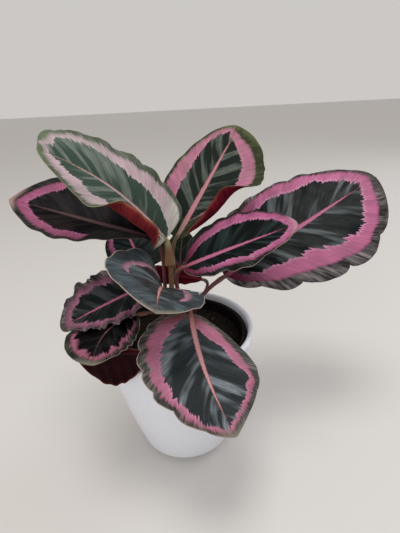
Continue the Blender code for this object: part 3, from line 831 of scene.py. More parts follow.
def grown(host: Object, tree: NodeTree, **settings: object) -> Mesh:
    """Run a geometry node tree on an object and keep the result as a plain mesh.

    Args:
        host: The object the tree reads.
        tree: The tree.
        **settings: Values for its inputs, with _ for each space.

    Returns:
        The new mesh.
    """
    modifier = host.modifiers.new(tree.name, "NODES")
    modifier.node_group = tree
    for item in tree.interface.items_tree:
        label = item.name.replace(" ", "_")
        if item.item_type == "SOCKET" and item.in_out == "INPUT" and label in settings:
            modifier[item.identifier] = settings[label]
    seen = host.evaluated_get(bpy.context.evaluated_depsgraph_get())
    mesh = bpy.data.meshes.new_from_object(seen)
    host.modifiers.remove(modifier)
    return mesh


def settle(piece: Object, slot: Slot, *nodes: str) -> Object:
    """Tie a finished piece to the frame and report it.

    Args:
        piece: The finished piece.
        slot: The record's slot for its finish; not used.
        *nodes: The frame's nodes it stands for.

    Returns:
        The piece.
    """
    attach(piece, BODY)
    if nodes:
        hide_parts(*nodes)
    log.info("%s: %d faces, for %s", piece.name, len(piece.data.polygons), ", ".join(nodes) or "detail")
    return piece


# ------------------------------------------------------------ geometry node trees
class Trees:
    """The geometry node trees: a swept stalk, scattered grains and standing fibres."""

    def __init__(self) -> None:
        """Build every tree once."""
        self.stalk = self._stalk()
        self.grains = self._grains()
        self.fibres = self._fibres()

    @staticmethod
    def _open(name: str, inputs: dict[str, tuple[str, object]]) -> tuple:
        """Start a tree that takes and gives geometry.

        Args:
            name: The tree's name.
            inputs: Kind and default value of each further input.

        Returns:
            The wiring, the tree's own inputs and the sockets it hands out.
        """
        tree = bpy.data.node_groups.new(name, "GeometryNodeTree")
        tree.interface.new_socket("Geometry", in_out="INPUT", socket_type="NodeSocketGeometry")
        for label, (kind, value) in inputs.items():
            socket = tree.interface.new_socket(label, in_out="INPUT", socket_type=kind)
            if value is not None:
                socket.default_value = value
        tree.interface.new_socket("Geometry", in_out="OUTPUT", socket_type="NodeSocketGeometry")
        wiring = Wiring(tree)
        return wiring, wiring.add("NodeGroupInput").outputs, wiring.add("NodeGroupOutput").inputs

    @staticmethod
    def _close(wiring: Wiring, out: object, geometry: object, material: object, smooth: bool) -> None:
        """Realise, shade and dress what a tree has made.

        Args:
            wiring: The tree's wiring.
            out: The sockets it hands out.
            geometry: What it has made.
            material: The material to put on it.
            smooth: Whether it is shaded smooth.
        """
        real = wiring.output("GeometryNodeRealizeInstances", {0: geometry})
        shaded = wiring.output("GeometryNodeSetShadeSmooth", {0: real, "Shade Smooth": smooth})
        wiring.feed(out[0], wiring.output("GeometryNodeSetMaterial", {0: shaded, "Material": material}))

    @staticmethod
    def _strewn(wiring: Wiring, given: object, lowest: float) -> Node:
        """Points strewn over the faces whose normal rises above the lowest slope.

        Args:
            wiring: The tree's wiring.
            given: The tree's own inputs.
            lowest: Smallest upward part of a normal, -1 to 1.

        Returns:
            The node that strews the points.
        """
        upward = wiring.split(wiring.output("GeometryNodeInputNormal"))[2]
        return wiring.add("GeometryNodeDistributePointsOnFaces", {
            "Mesh": given["Geometry"], "Selection": wiring.maths("GREATER_THAN", upward, lowest),
            "Density": given["Density"], "Seed": given["Seed"]})

    @staticmethod
    def _chance(wiring: Wiring, low: object, high: object, seed: object) -> NodeSocket:
        """A random vector between two others."""
        inputs = {0: low, 1: high, "Seed": seed}
        return wiring.output("FunctionNodeRandomValue", inputs, data_type="FLOAT_VECTOR")

    @staticmethod
    def _vectors(wiring: Wiring, operation: str, first: object, second: object) -> NodeSocket:
        """One Vector Math node on two vectors."""
        return wiring.output("ShaderNodeVectorMath", {0: first, 1: second}, operation=operation)

    @classmethod
    def _stalk(cls) -> NodeTree:
        """A ridged tube with a shallow channel, swept along a line that carries its own girth.

        Returns:
            The tree.
        """
        wiring, given, out = cls._open("stalk", {
            "Sides": ("NodeSocketInt", 20), "Ridges": ("NodeSocketFloat", 7.0),
            "Ridge Depth": ("NodeSocketFloat", 0.05), "Channel Depth": ("NodeSocketFloat", 0.25),
            "Material": ("NodeSocketMaterial", None)})
        line = wiring.output("GeometryNodeMeshToCurve", {0: given["Geometry"]})
        circle = wiring.output("GeometryNodeCurvePrimitiveCircle", {"Resolution": given["Sides"]})
        x, y, _ = wiring.split(wiring.output("GeometryNodeInputPosition"))
        turn = wiring.maths("ARCTAN2", y, x)
        ridge = wiring.maths("COSINE", wiring.times(turn, given["Ridges"]))
        ridge = wiring.times(ridge, given["Ridge Depth"])
        channel = wiring.times(wiring.smooth(x, 0.6, 1.0), given["Channel Depth"])
        size = wiring.maths("SUBTRACT", wiring.maths("ADD", ridge, 1.0), channel)
        shaped = wiring.vector(wiring.times(x, size), wiring.times(y, size), 0.0)
        profile = wiring.output("GeometryNodeSetPosition", {"Geometry": circle, "Position": shaped})
        girth = wiring.output("GeometryNodeInputNamedAttribute", {"Name": GIRTH}, data_type="FLOAT")
        swept = wiring.output("GeometryNodeCurveToMesh", {
            "Curve": line, "Profile Curve": profile, "Scale": girth, "Fill Caps": True})
        cls._close(wiring, out, swept, given["Material"], True)
        return wiring.tree

    @classmethod
    def _grains(cls) -> NodeTree:
        """Irregular grains strewn over the level part of a surface.

        Returns:
            The tree.
        """
        wiring, given, out = cls._open("grains", {
            "Density": ("NodeSocketFloat", 1000.0), "Smallest": ("NodeSocketVector", (0.001,) * 3),
            "Largest": ("NodeSocketVector", (0.002,) * 3), "Unevenness": ("NodeSocketFloat", 0.5),
            "Sink": ("NodeSocketFloat", 0.0), "Seed": ("NodeSocketInt", 1),
            "Material": ("NodeSocketMaterial", None)})
        points = cls._strewn(wiring, given, 0.75)
        grain = wiring.output("GeometryNodeMeshIcoSphere", {"Radius": 0.5, "Subdivisions": 1})
        size = cls._chance(wiring, given["Smallest"], given["Largest"], given["Seed"])
        spin = cls._chance(wiring, (0.0, 0.0, 0.0), (math.tau,) * 3, 91)
        turned_by = wiring.output("FunctionNodeEulerToRotation", {0: spin})
        strewn = wiring.output("GeometryNodeInstanceOnPoints", {
            "Points": points.outputs["Points"], "Instance": grain, "Rotation": turned_by, "Scale": size})
        real = wiring.output("GeometryNodeRealizeInstances", {0: strewn})
        place = wiring.output("GeometryNodeInputPosition")
        rough = wiring.add("ShaderNodeTexNoise", {"Vector": place, "Scale": 900.0, "Detail": 1.0})
        lump = cls._vectors(wiring, "SUBTRACT", rough.outputs["Color"], (0.5, 0.5, 0.5))
        reach = wiring.times(given["Unevenness"], wiring.split(given["Largest"])[0])
        lump = cls._vectors(wiring, "MULTIPLY", lump, wiring.vector(reach, reach, reach))
        lump = cls._vectors(wiring, "SUBTRACT", lump, wiring.vector(0.0, 0.0, given["Sink"]))
        uneven = wiring.output("GeometryNodeSetPosition", {"Geometry": real, "Offset": lump})
        cls._close(wiring, out, uneven, given["Material"], False)
        return wiring.tree

    @classmethod
    def _fibres(cls) -> NodeTree:
        """Short tapering fibres standing out of a surface.

        Returns:
            The tree.
        """
        wiring, given, out = cls._open("fibres", {
            "Density": ("NodeSocketFloat", 30000.0), "Shortest": ("NodeSocketFloat", 0.002),
            "Longest": ("NodeSocketFloat", 0.006), "Thickness": ("NodeSocketFloat", 0.0003),
            "Seed": ("NodeSocketInt", 1), "Material": ("NodeSocketMaterial", None)})
        points = cls._strewn(wiring, given, -0.2)
        fibre = wiring.output("GeometryNodeMeshCone", {
            "Vertices": 5, "Side Segments": 3, "Radius Top": 0.12, "Radius Bottom": 0.5, "Depth": 1.0})
        lean = cls._chance(wiring, (-0.9, -0.9, -0.6), (0.9, 0.9, 1.2), 5)
        towards = cls._vectors(wiring, "ADD", points.outputs["Normal"], lean)
        turned_by = wiring.output("FunctionNodeAlignRotationToVector", {"Vector": towards}, axis="Z")
        limits = {2: given["Shortest"], 3: given["Longest"], "Seed": given["Seed"]}
        length = wiring.add("FunctionNodeRandomValue", limits, data_type="FLOAT").outputs[1]
        size = wiring.vector(given["Thickness"], given["Thickness"], length)
        standing = wiring.output("GeometryNodeInstanceOnPoints", {
            "Points": points.outputs["Points"], "Instance": fibre, "Rotation": turned_by, "Scale": size})
        cls._close(wiring, out, standing, given["Material"], True)
        return wiring.tree


# ------------------------------------------------------------------------ leaves
@dataclass(frozen=True)
class Leaf:
    """One leaf: the course of its midrib and stalk, how its halves are bent, and how it is painted.

    Metres and degrees.  heading 0 points along +X and 90 along +Y.  Left and right are as seen
    from the blade's base, looking at its upper face; every pair gives the left half first.
    """

    name: str
    base: Point                      # where the blade meets its stalk
    heading: float                   # direction the midrib leaves in
    rise: float                      # slope of the midrib at the base
    length: float
    reach: Pair                      # greatest width of each half
    widest: Pair                     # where along the midrib each half is widest, 0 to 1
    foot: Pair                       # where the stalk leaves the crown (x, y)
    stem: Pair = (0.03, 0.015)       # how far the stalk runs straight at its foot and at the blade
    droop: float = 0.0               # how much lower the slope is at the tip
    veer: float = 0.0                # how far the heading has swung left at the tip
    lean: float = 0.0                # roll about the midrib: positive lowers the right half
    twist: float = 0.0               # further roll by the tip
    fold: Pair = (0.0, 0.0)          # upward slope of each half where it leaves the midrib
    curl: Pair = (0.0, 0.0)          # how far each half has turned down by its margin
    furl: Pair = (0.0, 0.0)          # extra fold at the base, gone by the middle
    ripple: Pair = (0.001, 6.0)      # height of the margin's ripple, ripples from base to tip
    point: Pair = (0.60, 0.60)       # of each half: 0.3 gives a blunt tip, 0.9 a drawn-out one
    heel: float = 0.45               # 0.3 gives a square base, 0.6 a wedge-shaped one
    hinge: float = 0.07              # how far along the midrib the halves reach their full fold
    cup: Pair = (0.0, 0.0)           # extra upward curl of each half at the base
    cup_end: float = 0.5             # how far along the midrib that curl is gone
    cup_from: float = 0.4            # how far out from the midrib that curl begins, 0 to 1
    coat: Coat = Coat.PLUM
    finish: BladeFinish = PLUM
    ring: tuple[Band, Band] = (((0.20, 0.42), (0.16, 0.38), (0.06, 0.20)),) * 2
    ring_end: Pair = (1.1, 1.1)      # how far along the midrib each half's ring lasts
    ring_start: Pair = (-0.1, -0.1)  # where along the midrib it begins
    stripe: float = 1.6              # half width of the midrib stripe, in mm
    stripe_end: float = 0.88         # where along the midrib the stripe runs out
    hem: Pair = (0.15, 0.15)         # width of each margin's pale hem, in mm
    wave: Pair = (0.0006, 0.0006)    # height of each margin's slow waves
    waves: int = 9                   # swings of those waves
    scallop: Pair = (0.015, 0.015)   # depth of the notches in each margin, as a share of its reach
    lobes: Pair = (6.0, 6.0)         # lobes along each margin
    ragged: Pair = (0.004, 0.004)    # how torn each margin is, as a share of its reach
    pleat: float = 0.00022           # height of the pleats between side veins
    pleats: float = 9.0              # how many run out of each side of the midrib
    slim: float = 0.0015             # radius of the stalk's slim part
    sheath: float = 0.0028           # radius of the stalk's sheathed foot
    sheath_end: float = 0.55         # how far up the stalk the sheath reaches
    collar: float = 0.0              # extra radius of the loose sleeve below the blade
    collar_mouth: float = 0.7        # how far up the stalk that sleeve's mouth is
    seed: int = 1

    FOOT_HALF_WIDTH = 0.0016
    TIP_HALF_WIDTH = 0.0004
    VEIN_SWEEP = 2.25                # how far forward the side veins have swept at the margin
    BAND_STATIONS = (0.08, 0.45, 0.84)
    FURL_END = 0.6                   # how far along the midrib the furl is gone
    TEARS = 46                       # swings of a torn edge along a margin

    def frames(self, samples: np.ndarray) -> list[np.ndarray]:
        """Points of the midrib with its forward, rightward and upward vectors.

        Args:
            samples: Where to read them, 0 at the base and 1 at the tip.

        Returns:
            Four arrays of vectors, one row for each sample.
        """
        fine = np.linspace(0.0, 1.0, 241)
        slope = np.radians(self.rise - self.droop * fine ** 1.3)
        turn = np.radians(self.heading + self.veer * fine)
        ahead = np.stack([np.cos(slope) * np.cos(turn), np.cos(slope) * np.sin(turn), np.sin(slope)], -1)
        middle = (ahead[1:] + ahead[:-1]) / 2.0
        path = np.vstack([np.zeros(3), np.cumsum(middle, 0)]) * self.length / (len(fine) - 1)
        path += np.array(self.base)
        right = np.stack([np.sin(turn), -np.cos(turn), np.zeros_like(turn)], -1)
        up = np.cross(right, ahead)
        roll = np.radians(self.lean + self.twist * fine)[:, None]
        right, up = np.cos(roll) * right - np.sin(roll) * up, np.cos(roll) * up + np.sin(roll) * right
        return [np.stack([np.interp(samples, fine, line[:, k]) for k in range(3)], -1)
                for line in (path, ahead, right, up)]

    def half_width(self, side: int, samples: np.ndarray) -> np.ndarray:
        """Distance from midrib to margin on one side.

        Args:
            side: 0 for left and 1 for right.
            samples: Where to read it, 0 at the base and 1 at the tip.

        Returns:
            One distance for each sample.
        """
        stretch = samples ** (math.log(0.5) / math.log(self.widest[side]))
        roundness = self.heel + (self.point[side] - self.heel) * samples
        wide = self.reach[side] * np.sin(math.pi * np.clip(stretch, 0.0, 1.0)) ** roundness
        smallest = self.FOOT_HALF_WIDTH + (self.TIP_HALF_WIDTH - self.FOOT_HALF_WIDTH) * samples
        return np.maximum(wide, smallest)

    def widths(self, samples: np.ndarray) -> np.ndarray:
        """Both half widths, one column for each side."""
        return np.stack([self.half_width(side, samples) for side in (0, 1)], -1)

    def veins(self, samples: np.ndarray, out: np.ndarray) -> np.ndarray:
        """Where the side vein through a place leaves the midrib, 0 to 1."""
        sweep = 1.0 + (self.VEIN_SWEEP - 1.0) * out ** 1.1
        return 1.0 - (1.0 - samples) ** (1.0 / sweep)

    def surface(self, samples: np.ndarray, across: np.ndarray) -> np.ndarray:
        """Middle surface of the blade with its waves, before the pleats.

        Args:
            samples: Rows, 0 at the base and 1 at the tip.
            across: Columns, -1 at the left margin and 1 at the right.

        Returns:
            Points, rows by columns.
        """
        path, _, right, up = self.frames(samples)
        side = (across > 0.0).astype(int)
        out = np.abs(across)[None, :]
        reach = self.widths(samples)[:, side] * (1.0 + self._outline_swing(samples, side, out))
        opening = smoothstep(samples, 0.0, self.hinge)[:, None]
        closing = np.clip(1.0 - samples / self.FURL_END, 0.0, 1.0)[:, None] ** 1.5
        fold = np.array(self.fold)[side][None, :] + np.array(self.furl)[side][None, :] * closing
        fold = np.radians(fold) * opening
        cupped = smoothstep(samples, self.cup_end, 0.6 * self.cup_end)[:, None]
        curl = np.radians(np.array(self.curl))[side][None, :] * opening
        cup = np.radians(np.array(self.cup))[side][None, :] * cupped * opening / (1.0 - self.cup_from)
        near = np.minimum(out, self.cup_from)
        parts = []
        for start, span, bend in ((fold, near, -curl), (fold - curl * near, out - near, cup - curl)):
            angle = start + 0.5 * bend * span
            chord = span * reach * np.sinc(0.5 * bend * span / math.pi)
            parts.append((chord * np.cos(angle), chord * np.sin(angle)))
        height, count = self.ripple
        phase = 2.0 * math.pi * count * samples[:, None] + 1.3 * side[None, :]
        lift = height * np.sin(phase) * out ** 2 * np.sin(math.pi * samples)[:, None]
        for k, amount in enumerate(self.wave):
            slow = wander(samples, self.waves, self.seed * 10 + k)[:, None]
            begun = smoothstep(samples, 0.0, 0.1)[:, None]
            lift = lift + amount * slow * out ** 2.5 * (side[None, :] == k) * begun
        sideways = np.where(across < 0.0, -1.0, 1.0)[None, :] * (parts[0][0] + parts[1][0])
        climb = parts[0][1] + parts[1][1] + lift
        over = sideways[..., None] * right[:, None, :]
        return path[:, None, :] + over + climb[..., None] * up[:, None, :]

    def _outline_swing(self, samples: np.ndarray, side: np.ndarray, out: np.ndarray) -> np.ndarray:
        """How far the outline swings in or out, as a share of the half width.

        Args:
            samples: Rows, 0 at the base and 1 at the tip.
            side: For each column, 0 for left and 1 for right.
            out: For each column, how far out from the midrib it is, 0 to 1.

        Returns:
            Shares, rows by columns.
        """
        ends = (smoothstep(samples, 0.02, 0.15) * smoothstep(samples, 1.0, 0.93))[:, None]
        swing = np.zeros((len(samples), out.shape[1]))
        for k in (0, 1):
            on = (side[None, :] == k)
            place = samples + 0.03 * wander(samples, 6, self.seed * 10 + 4 + k)
            notch = 1.0 - np.abs(np.sin(math.pi * self.lobes[k] * place + self.seed)) ** 0.7
            slow = -notch[:, None] * self.scallop[k] * out ** 3
            tears = wander(samples, self.TEARS, self.seed * 10 + 6 + k)[:, None]
            swing += (slow + tears * self.ragged[k] * out ** 9) * on
        return swing * ends

    def stalk_path(self, samples: np.ndarray, crown_top: float, gap: float) -> np.ndarray:
        """Centre line of the stalk, from just above the crown to just short of the blade.

        Args:
            samples: Where to read it, 0 at the foot and 1 at the blade.
            crown_top: Height of the crown's top.
            gap: Clear distance at either end.

        Returns:
            One point for each sample.
        """
        ahead = self.frames(np.array([0.0]))[1][0]
        end = np.array(self.base) - ahead * (gap + 0.0004)
        start = np.array([*self.foot, crown_top + gap])
        rising = start + np.array([0.0, 0.0, self.stem[0]])
        arriving = end - ahead * self.stem[1]
        t = samples[:, None]
        path = (1 - t) ** 3 * start + 3 * t * (1 - t) ** 2 * rising
        return path + 3 * t ** 2 * (1 - t) * arriving + t ** 3 * end


LEAVES = (
    Leaf("01_new_upper_left", (-0.0045, -0.005, 0.217), -149, 57, 0.120, (0.030, 0.038), (0.42, 0.28),
         (-0.0045, 0.0015), stem=(0.03, 0.006), droop=30, lean=-80, twist=34, fold=(10, 10),
         curl=(15, 25), furl=(30, -10), point=(0.60, 0.22), heel=0.46, hinge=0.20, cup=(200, 0),
         cup_end=0.72, coat=Coat.YOUNG, finish=YOUNG,
         ring=(((0.05, 0.35), (0.10, 0.52), (0.08, 0.30)), ((0.12, 0.62), (0.20, 0.48), (0.10, 0.22))),
         stripe=1.2, hem=(0.35, 0.2), wave=(0.0010, 0.0016), scallop=(0.02, 0.05),
         ragged=(0.004, 0.012), pleat=0.0002, sheath=0.0032, sheath_end=1.0, collar=0.0034,
         collar_mouth=0.63, seed=11),
    Leaf("02_left_shaded", (-0.014, -0.006, 0.218), 175, 18, 0.121, (0.028, 0.043), (0.60, 0.52),
         (-0.0115, 0.0040), stem=(0.03, 0.009), lean=-15, fold=(0, 25), curl=(15, 5), furl=(40, 0),
         point=(0.72, 0.68), finish=SHADED,
         ring=(((0.08, 0.16), (0.06, 0.28), (0.15, 0.42)), ((0.10, 0.30), (0.12, 0.34), (0.14, 0.32))),
         ring_start=(0.34, 0.5), stripe=2.4, hem=(0.3, 0.15), wave=(0.0006, 0.0014),
         scallop=(0.015, 0.035), seed=12),
    Leaf("03_upper_right", (0.003, 0.015, 0.210), 27, 53, 0.110, (0.035, 0.044), (0.40, 0.60),
         (0.004, 0.009), lean=45, fold=(5, 5), curl=(10, 10), furl=(0, -30), point=(0.55, 0.40),
         heel=0.60, hinge=0.12, cup=(0, 200), cup_end=0.74, coat=Coat.OLIVE, finish=OLIVE,
         ring=(((0.06, 0.40), (0.07, 0.44), (0.04, 0.16)), ((0.20, 0.50), (0.15, 0.50), (0.18, 0.42))),
         ring_start=(0.12, 0.35), stripe=2.2, stripe_end=0.92, scallop=(0.0, 0.03), lobes=(5, 7),
         ragged=(0.002, 0.014), pleat=0.0003, seed=13),
    Leaf("04_large_right", (0.045, 0.010, 0.172), 11, 29, 0.160, (0.056, 0.060), (0.38, 0.62),
         (0.0120, 0.0040), lean=35, fold=(5, 5), curl=(10, 20), ripple=(0.0015, 6), point=(0.55, 0.55),
         heel=0.36, finish=GREY,
         ring=(((0.22, 0.46), (0.035, 0.27), (0.045, 0.22)), ((0.12, 0.26), (0.22, 0.52), (0.12, 0.32))),
         stripe=3.0, wave=(0.0010, 0.0034), scallop=(0.03, 0.11), lobes=(9, 4.3), pleat=0.0006,
         slim=0.0021, sheath=0.0033, seed=14),
    Leaf("05_centre_right", (0.009, -0.015, 0.195), -10, 24, 0.098, (0.036, 0.026), (0.40, 0.5),
         (0.0065, -0.0025), droop=2, lean=15, fold=(20, 0), curl=(10, 15),
         ring=(((0.24, 0.48), (0.08, 0.36), (0.02, 0.20)), ((0.05, 0.28), (0.28, 0.52), (0.02, 0.25))),
         stripe=2.1, hem=(0.2, 0.5), wave=(0.0006, 0.0018), scallop=(0.01, 0.16), lobes=(6, 3.2),
         pleat=0.0003, slim=0.0018, seed=15),
    Leaf("06_front_hanging", (0.0134, -0.042, 0.1660), -85, -32, 0.0970, (0.053, 0.048), (0.60, 0.38),
         (0.0075, -0.0105), droop=6, veer=32, lean=-15, curl=(15, 10), ripple=(0.0003, 6),
         point=(0.75, 0.75), coat=Coat.TEAL, finish=TEAL,
         ring=(((0.10, 0.42), (0.19, 0.36), (0.10, 0.18)), ((0.16, 0.47), (0.12, 0.30), (0.05, 0.10))),
         stripe=2.2, stripe_end=0.84, hem=(0.2, 0.45), wave=(0.0002, 0.0018), scallop=(0.0, 0.075),
         lobes=(4, 7), ragged=(0.0, 0.004), pleat=0.0009, pleats=6, seed=16),
    Leaf("07_front_folded", (-0.009, -0.022, 0.180), -88, 32, 0.084, (0.033, 0.044), (0.60, 0.45),
         (-0.0005, -0.0065), droop=34, fold=(-8, 36), curl=(10, 10), furl=(0, 50), point=(0.45, 0.60),
         heel=0.38, coat=Coat.TEAL, finish=SLATE,
         ring=(((0.26, 0.38), (0.28, 0.40), (0.30, 0.42)), ((0.38, 0.49), (0.26, 0.38), (0.24, 0.34))),
         ring_start=(0.10, -0.1), ring_end=(0.85, 0.60), hem=(0.5, 0.7), wave=(0.0008, 0.0012),
         scallop=(0.015, 0.03), seed=17),
    Leaf("08_left_ragged", (-0.022, -0.020, 0.183), -156, -12, 0.076, (0.029, 0.032), (0.38, 0.5),
         (-0.0110, -0.0025), droop=6, fold=(-4, 28), ripple=(0.002, 6), finish=ASH,
         ring=(((0.06, 0.26), (0.08, 0.30), (0.10, 0.30)), ((0.12, 0.34), (0.18, 0.40), (0.12, 0.30))),
         wave=(0.0016, 0.0022), scallop=(0.10, 0.14), lobes=(5, 4.5), ragged=(0.05, 0.04), pleat=0.0006,
         pleats=6, seed=18),
    Leaf("09_left_drooping", (-0.0290, -0.0448, 0.1695), -152, 6, 0.056, (0.022, 0.034), (0.45, 0.60),
         (-0.0095, -0.0090), droop=50, veer=56, fold=(-10, 2), curl=(20, 20), coat=Coat.TEAL,
         finish=TEAL_SHADED,
         ring=(((0.22, 0.34), (0.20, 0.33), (0.12, 0.26)), ((0.20, 0.31), (0.20, 0.30), (0.12, 0.22))),
         stripe=0.8, hem=(0.3, 0.2), seed=19),
    Leaf("10_left_lowest", (-0.0205, -0.0735, 0.1535), 168, -2, 0.061, (0.006, 0.037), (0.50, 0.60),
         (-0.0035, -0.0130), droop=8, lean=82, point=(0.45, 0.45), scallop=(0.0, 0.03), seed=20),
    Leaf("11_small_left", (-0.028, 0.010, 0.184), 115, 25, 0.065, (0.026, 0.033), (0.5, 0.40),
         (-0.0105, 0.0100), lean=-10, fold=(5, 5), curl=(20, 20), ring_start=(-0.1, 1.1), seed=21),
    Leaf("12_small_centre", (0.003, 0.032, 0.174), 75, 60, 0.036, (0.013, 0.015), (0.5, 0.5),
         (-0.003, 0.012), fold=(10, 10), curl=(10, 10), coat=Coat.OLIVE, finish=MOSS, stripe=0.5,
         seed=22),
    Leaf("13_back", (0.0235, 0.0165, 0.167), 180, 16, 0.058, (0.012, 0.010), (0.5, 0.5), (0.010, 0.012),
         stem=(0.02, 0.016), droop=28, lean=80, point=(0.35, 0.35), heel=0.50, coat=Coat.OLIVE,
         finish=GREY, stripe=1.0, pleat=0.0001, seed=23),
)


@dataclass
class Blade:
    """A leaf's blade: a thin closed skin with pleats, a channelled midrib and a rounded edge."""

    leaf: Leaf
    rows: int = 150
    half_columns: int = 34
    thickness: float = 0.0005
    rib_height: float = 0.0012
    rib_half_width: float = 0.0013
    rib_taper: float = 0.8           # share of the rib's height lost by the tip
    channel_depth: float = 0.00035
    channel_taper: float = 0.7
    edge_bulge: float = 0.4          # how far the edge swells out, as a share of the thickness
    row_crowding: float = 0.55       # 0 spaces the rows evenly, 1 crowds them most at the ends
    column_crowding: float = 0.25
    ring_fade: float = 0.12          # share of the midrib over which a ring begins or ends
    beyond: float = 0.012            # how far the ring's outer edge moves in where there is no ring

    def stations(self) -> tuple[np.ndarray, np.ndarray]:
        """Places of the rows and columns, closer together at the ends and at the midrib.

        Returns:
            Rows from 0 at the base to 1 at the tip, and columns from -1 to 1.
        """
        rows, half = (
            (1.0 - crowding) * even + crowding * (0.5 - 0.5 * np.cos(math.pi * even))
            for even, crowding in ((np.linspace(0.0, 1.0, self.rows + 1), self.row_crowding),
                                   (np.linspace(0.0, 1.0, self.half_columns + 1), self.column_crowding)))
        return rows, np.concatenate([-half[:0:-1], half])

    def relief(self, rows: np.ndarray, across: np.ndarray) -> tuple[np.ndarray, np.ndarray]:
        """Shape of the pleats and of the midrib's channel.

        Args:
            rows: Stations along the midrib.
            across: Stations from margin to margin.

        Returns:
            Height above the plain surface, and the swell of the pleats from 0 to 1.
        """
        leaf = self.leaf
        out = np.abs(across)[None, :]
        vein = leaf.veins(rows[:, None], out)
        side = (across > 0.0).astype(int)
        wobbles = [wander(vein, 7, leaf.seed + 50 + k) for k in (0, 1)]
        wobble = np.where(side[None, :] == 0, *wobbles)
        turns = math.pi * leaf.pleats * (vein + 0.022 * wobble)
        swell = np.abs(np.sin(turns + 0.6 * side[None, :])) ** 0.8
        reach = smoothstep(out, 0.04, 0.30) * (1.0 - 0.55 * smoothstep(out, 0.70, 1.0))
        ends = (smoothstep(rows, 0.02, 0.20) * smoothstep(rows, 1.0, 0.86))[:, None]
        offset = out * leaf.widths(rows)[:, side]
        channel = np.exp(-(offset / self.rib_half_width) ** 2)
        channel *= 1.0 - self.channel_taper * rows[:, None]
        return leaf.pleat * (swell - 0.55) * reach * ends - self.channel_depth * channel, swell

    def zones(self, rows: np.ndarray, across: np.ndarray) -> tuple[np.ndarray, np.ndarray]:
        """Where each point lies within the painting.

        Args:
            rows: Stations along the midrib.
            across: Stations from margin to margin.

        Returns:
            Three distances in mm for each point, and the distance from the margin in mm.
        """
        leaf = self.leaf
        side = (across > 0.0).astype(int)
        out = np.abs(across)
        widths = leaf.widths(rows)
        fine = np.linspace(0.0, 1.0, 301)
        bank = leaf.widths(fine)
        outline = np.concatenate([np.stack([fine * leaf.length, -bank[:, 0]], -1),
                                  np.stack([fine * leaf.length, bank[:, 1]], -1)])
        rim = np.zeros((len(rows), len(across)))
        for i, row in enumerate(rows):
            spots = np.stack([np.full(len(across), row * leaf.length), across * widths[i, side]], -1)
            near = np.linalg.norm(spots[:, None, :] - outline[None], axis=-1).min(1)
            fair = (1.0 - out) * widths[i, side]
            blend = smoothstep(np.array(row), 0.30, 0.62)
            rim[i] = near * blend + fair * (1.0 - blend)
        past = []
        for edge in (0, 1):
            share = np.stack([np.interp(rows, leaf.BAND_STATIONS, [pair[edge] for pair in band])
                              for band in leaf.ring], -1) * np.array(leaf.reach)
            middle = share.mean(1, keepdims=True)
            part = smoothstep(out, 0.0, 0.35)[None, :]
            past.append(rim - middle - (share[:, side] - middle) * part)
        start, end = np.array(leaf.ring_start)[side], np.array(leaf.ring_end)[side]
        place, fade = rows[:, None], self.ring_fade
        shown = smoothstep(place, start, start + fade) * smoothstep(place, end, end - fade)
        past[0] = past[0] - self.beyond * (1.0 - shown)
        run_out = (1.0 - (rows / leaf.stripe_end) ** 2.2) * (0.7 + 0.3 * smoothstep(rows, 0.0, 0.15))
        stripe = out[None, :] * widths[:, side] * MM - leaf.stripe * run_out[:, None]
        return np.stack([past[0] * MM, past[1] * MM, stripe], -1), rim * MM

    def build(self) -> Mesh:
        """Build the blade as a closed mesh.

        Returns:
            The mesh, with slot 0 for its upper face, slot 1 for its lower face and slot 2 for its edge.
        """
        leaf = self.leaf
        rows, across = self.stations()
        middle = leaf.surface(rows, across)
        along_step = np.gradient(middle, axis=0)
        over_step = np.gradient(middle, axis=1)
        normals = unit(np.cross(over_step, along_step))
        ends = leaf.frames(np.array([0.0, 1.0]))[3]
        normals[0], normals[-1] = ends[0], ends[1]
        middle = middle + normals * self.relief(rows, across)[0][..., None]
        side = (across > 0.0).astype(int)
        offset = np.abs(across)[None, :] * leaf.widths(rows)[:, side]
        rib = np.exp(-(offset / self.rib_half_width) ** 2) * (1.0 - self.rib_taper * rows[:, None])
        upper = middle + normals * 0.5 * self.thickness
        lower = middle - normals * (0.5 * self.thickness + self.rib_height * rib)[..., None]
        columns = len(across)
        count = len(rows) * columns
        grid = np.arange(count).reshape(len(rows), columns)
        edge = np.concatenate([grid[0], grid[1:, -1], grid[-1, -2::-1], grid[-2:0:-1, 0]])
        flat = middle.reshape(-1, 3)
        inward = unit(np.roll(flat[edge], 2, 0) - np.roll(flat[edge], -2, 0))
        outward = np.cross(inward, normals.reshape(-1, 3)[edge])
        bulge = flat[edge] - outward * self.edge_bulge * self.thickness
        vertices = np.concatenate([upper.reshape(-1, 3), lower.reshape(-1, 3), bulge])
        quads = np.stack([grid[:-1, :-1], grid[:-1, 1:], grid[1:, 1:], grid[1:, :-1]], -1).reshape(-1, 4)
        ring = 2 * count + np.arange(len(edge))
        following = np.roll(edge, -1)
        next_ring = np.roll(ring, -1)
        above = np.stack([edge, ring, next_ring, following], -1)
        below = np.stack([ring, edge + count, following + count, next_ring], -1)
        faces = np.concatenate([quads, quads[:, ::-1] + count, above, below])
        mesh = bpy.data.meshes.new("leaf_" + leaf.name)
        mesh.from_pydata(vertices.tolist(), [], faces.tolist())
        slots = np.repeat([0, 1, 2], [len(quads), len(quads), 2 * len(edge)])
        mesh.polygons.foreach_set("material_index", slots.astype(np.int32))
        mesh.polygons.foreach_set("use_smooth", np.ones(len(faces), bool))
        self._store_runs(mesh, rows, across, edge)
        mesh.validate()
        return mesh

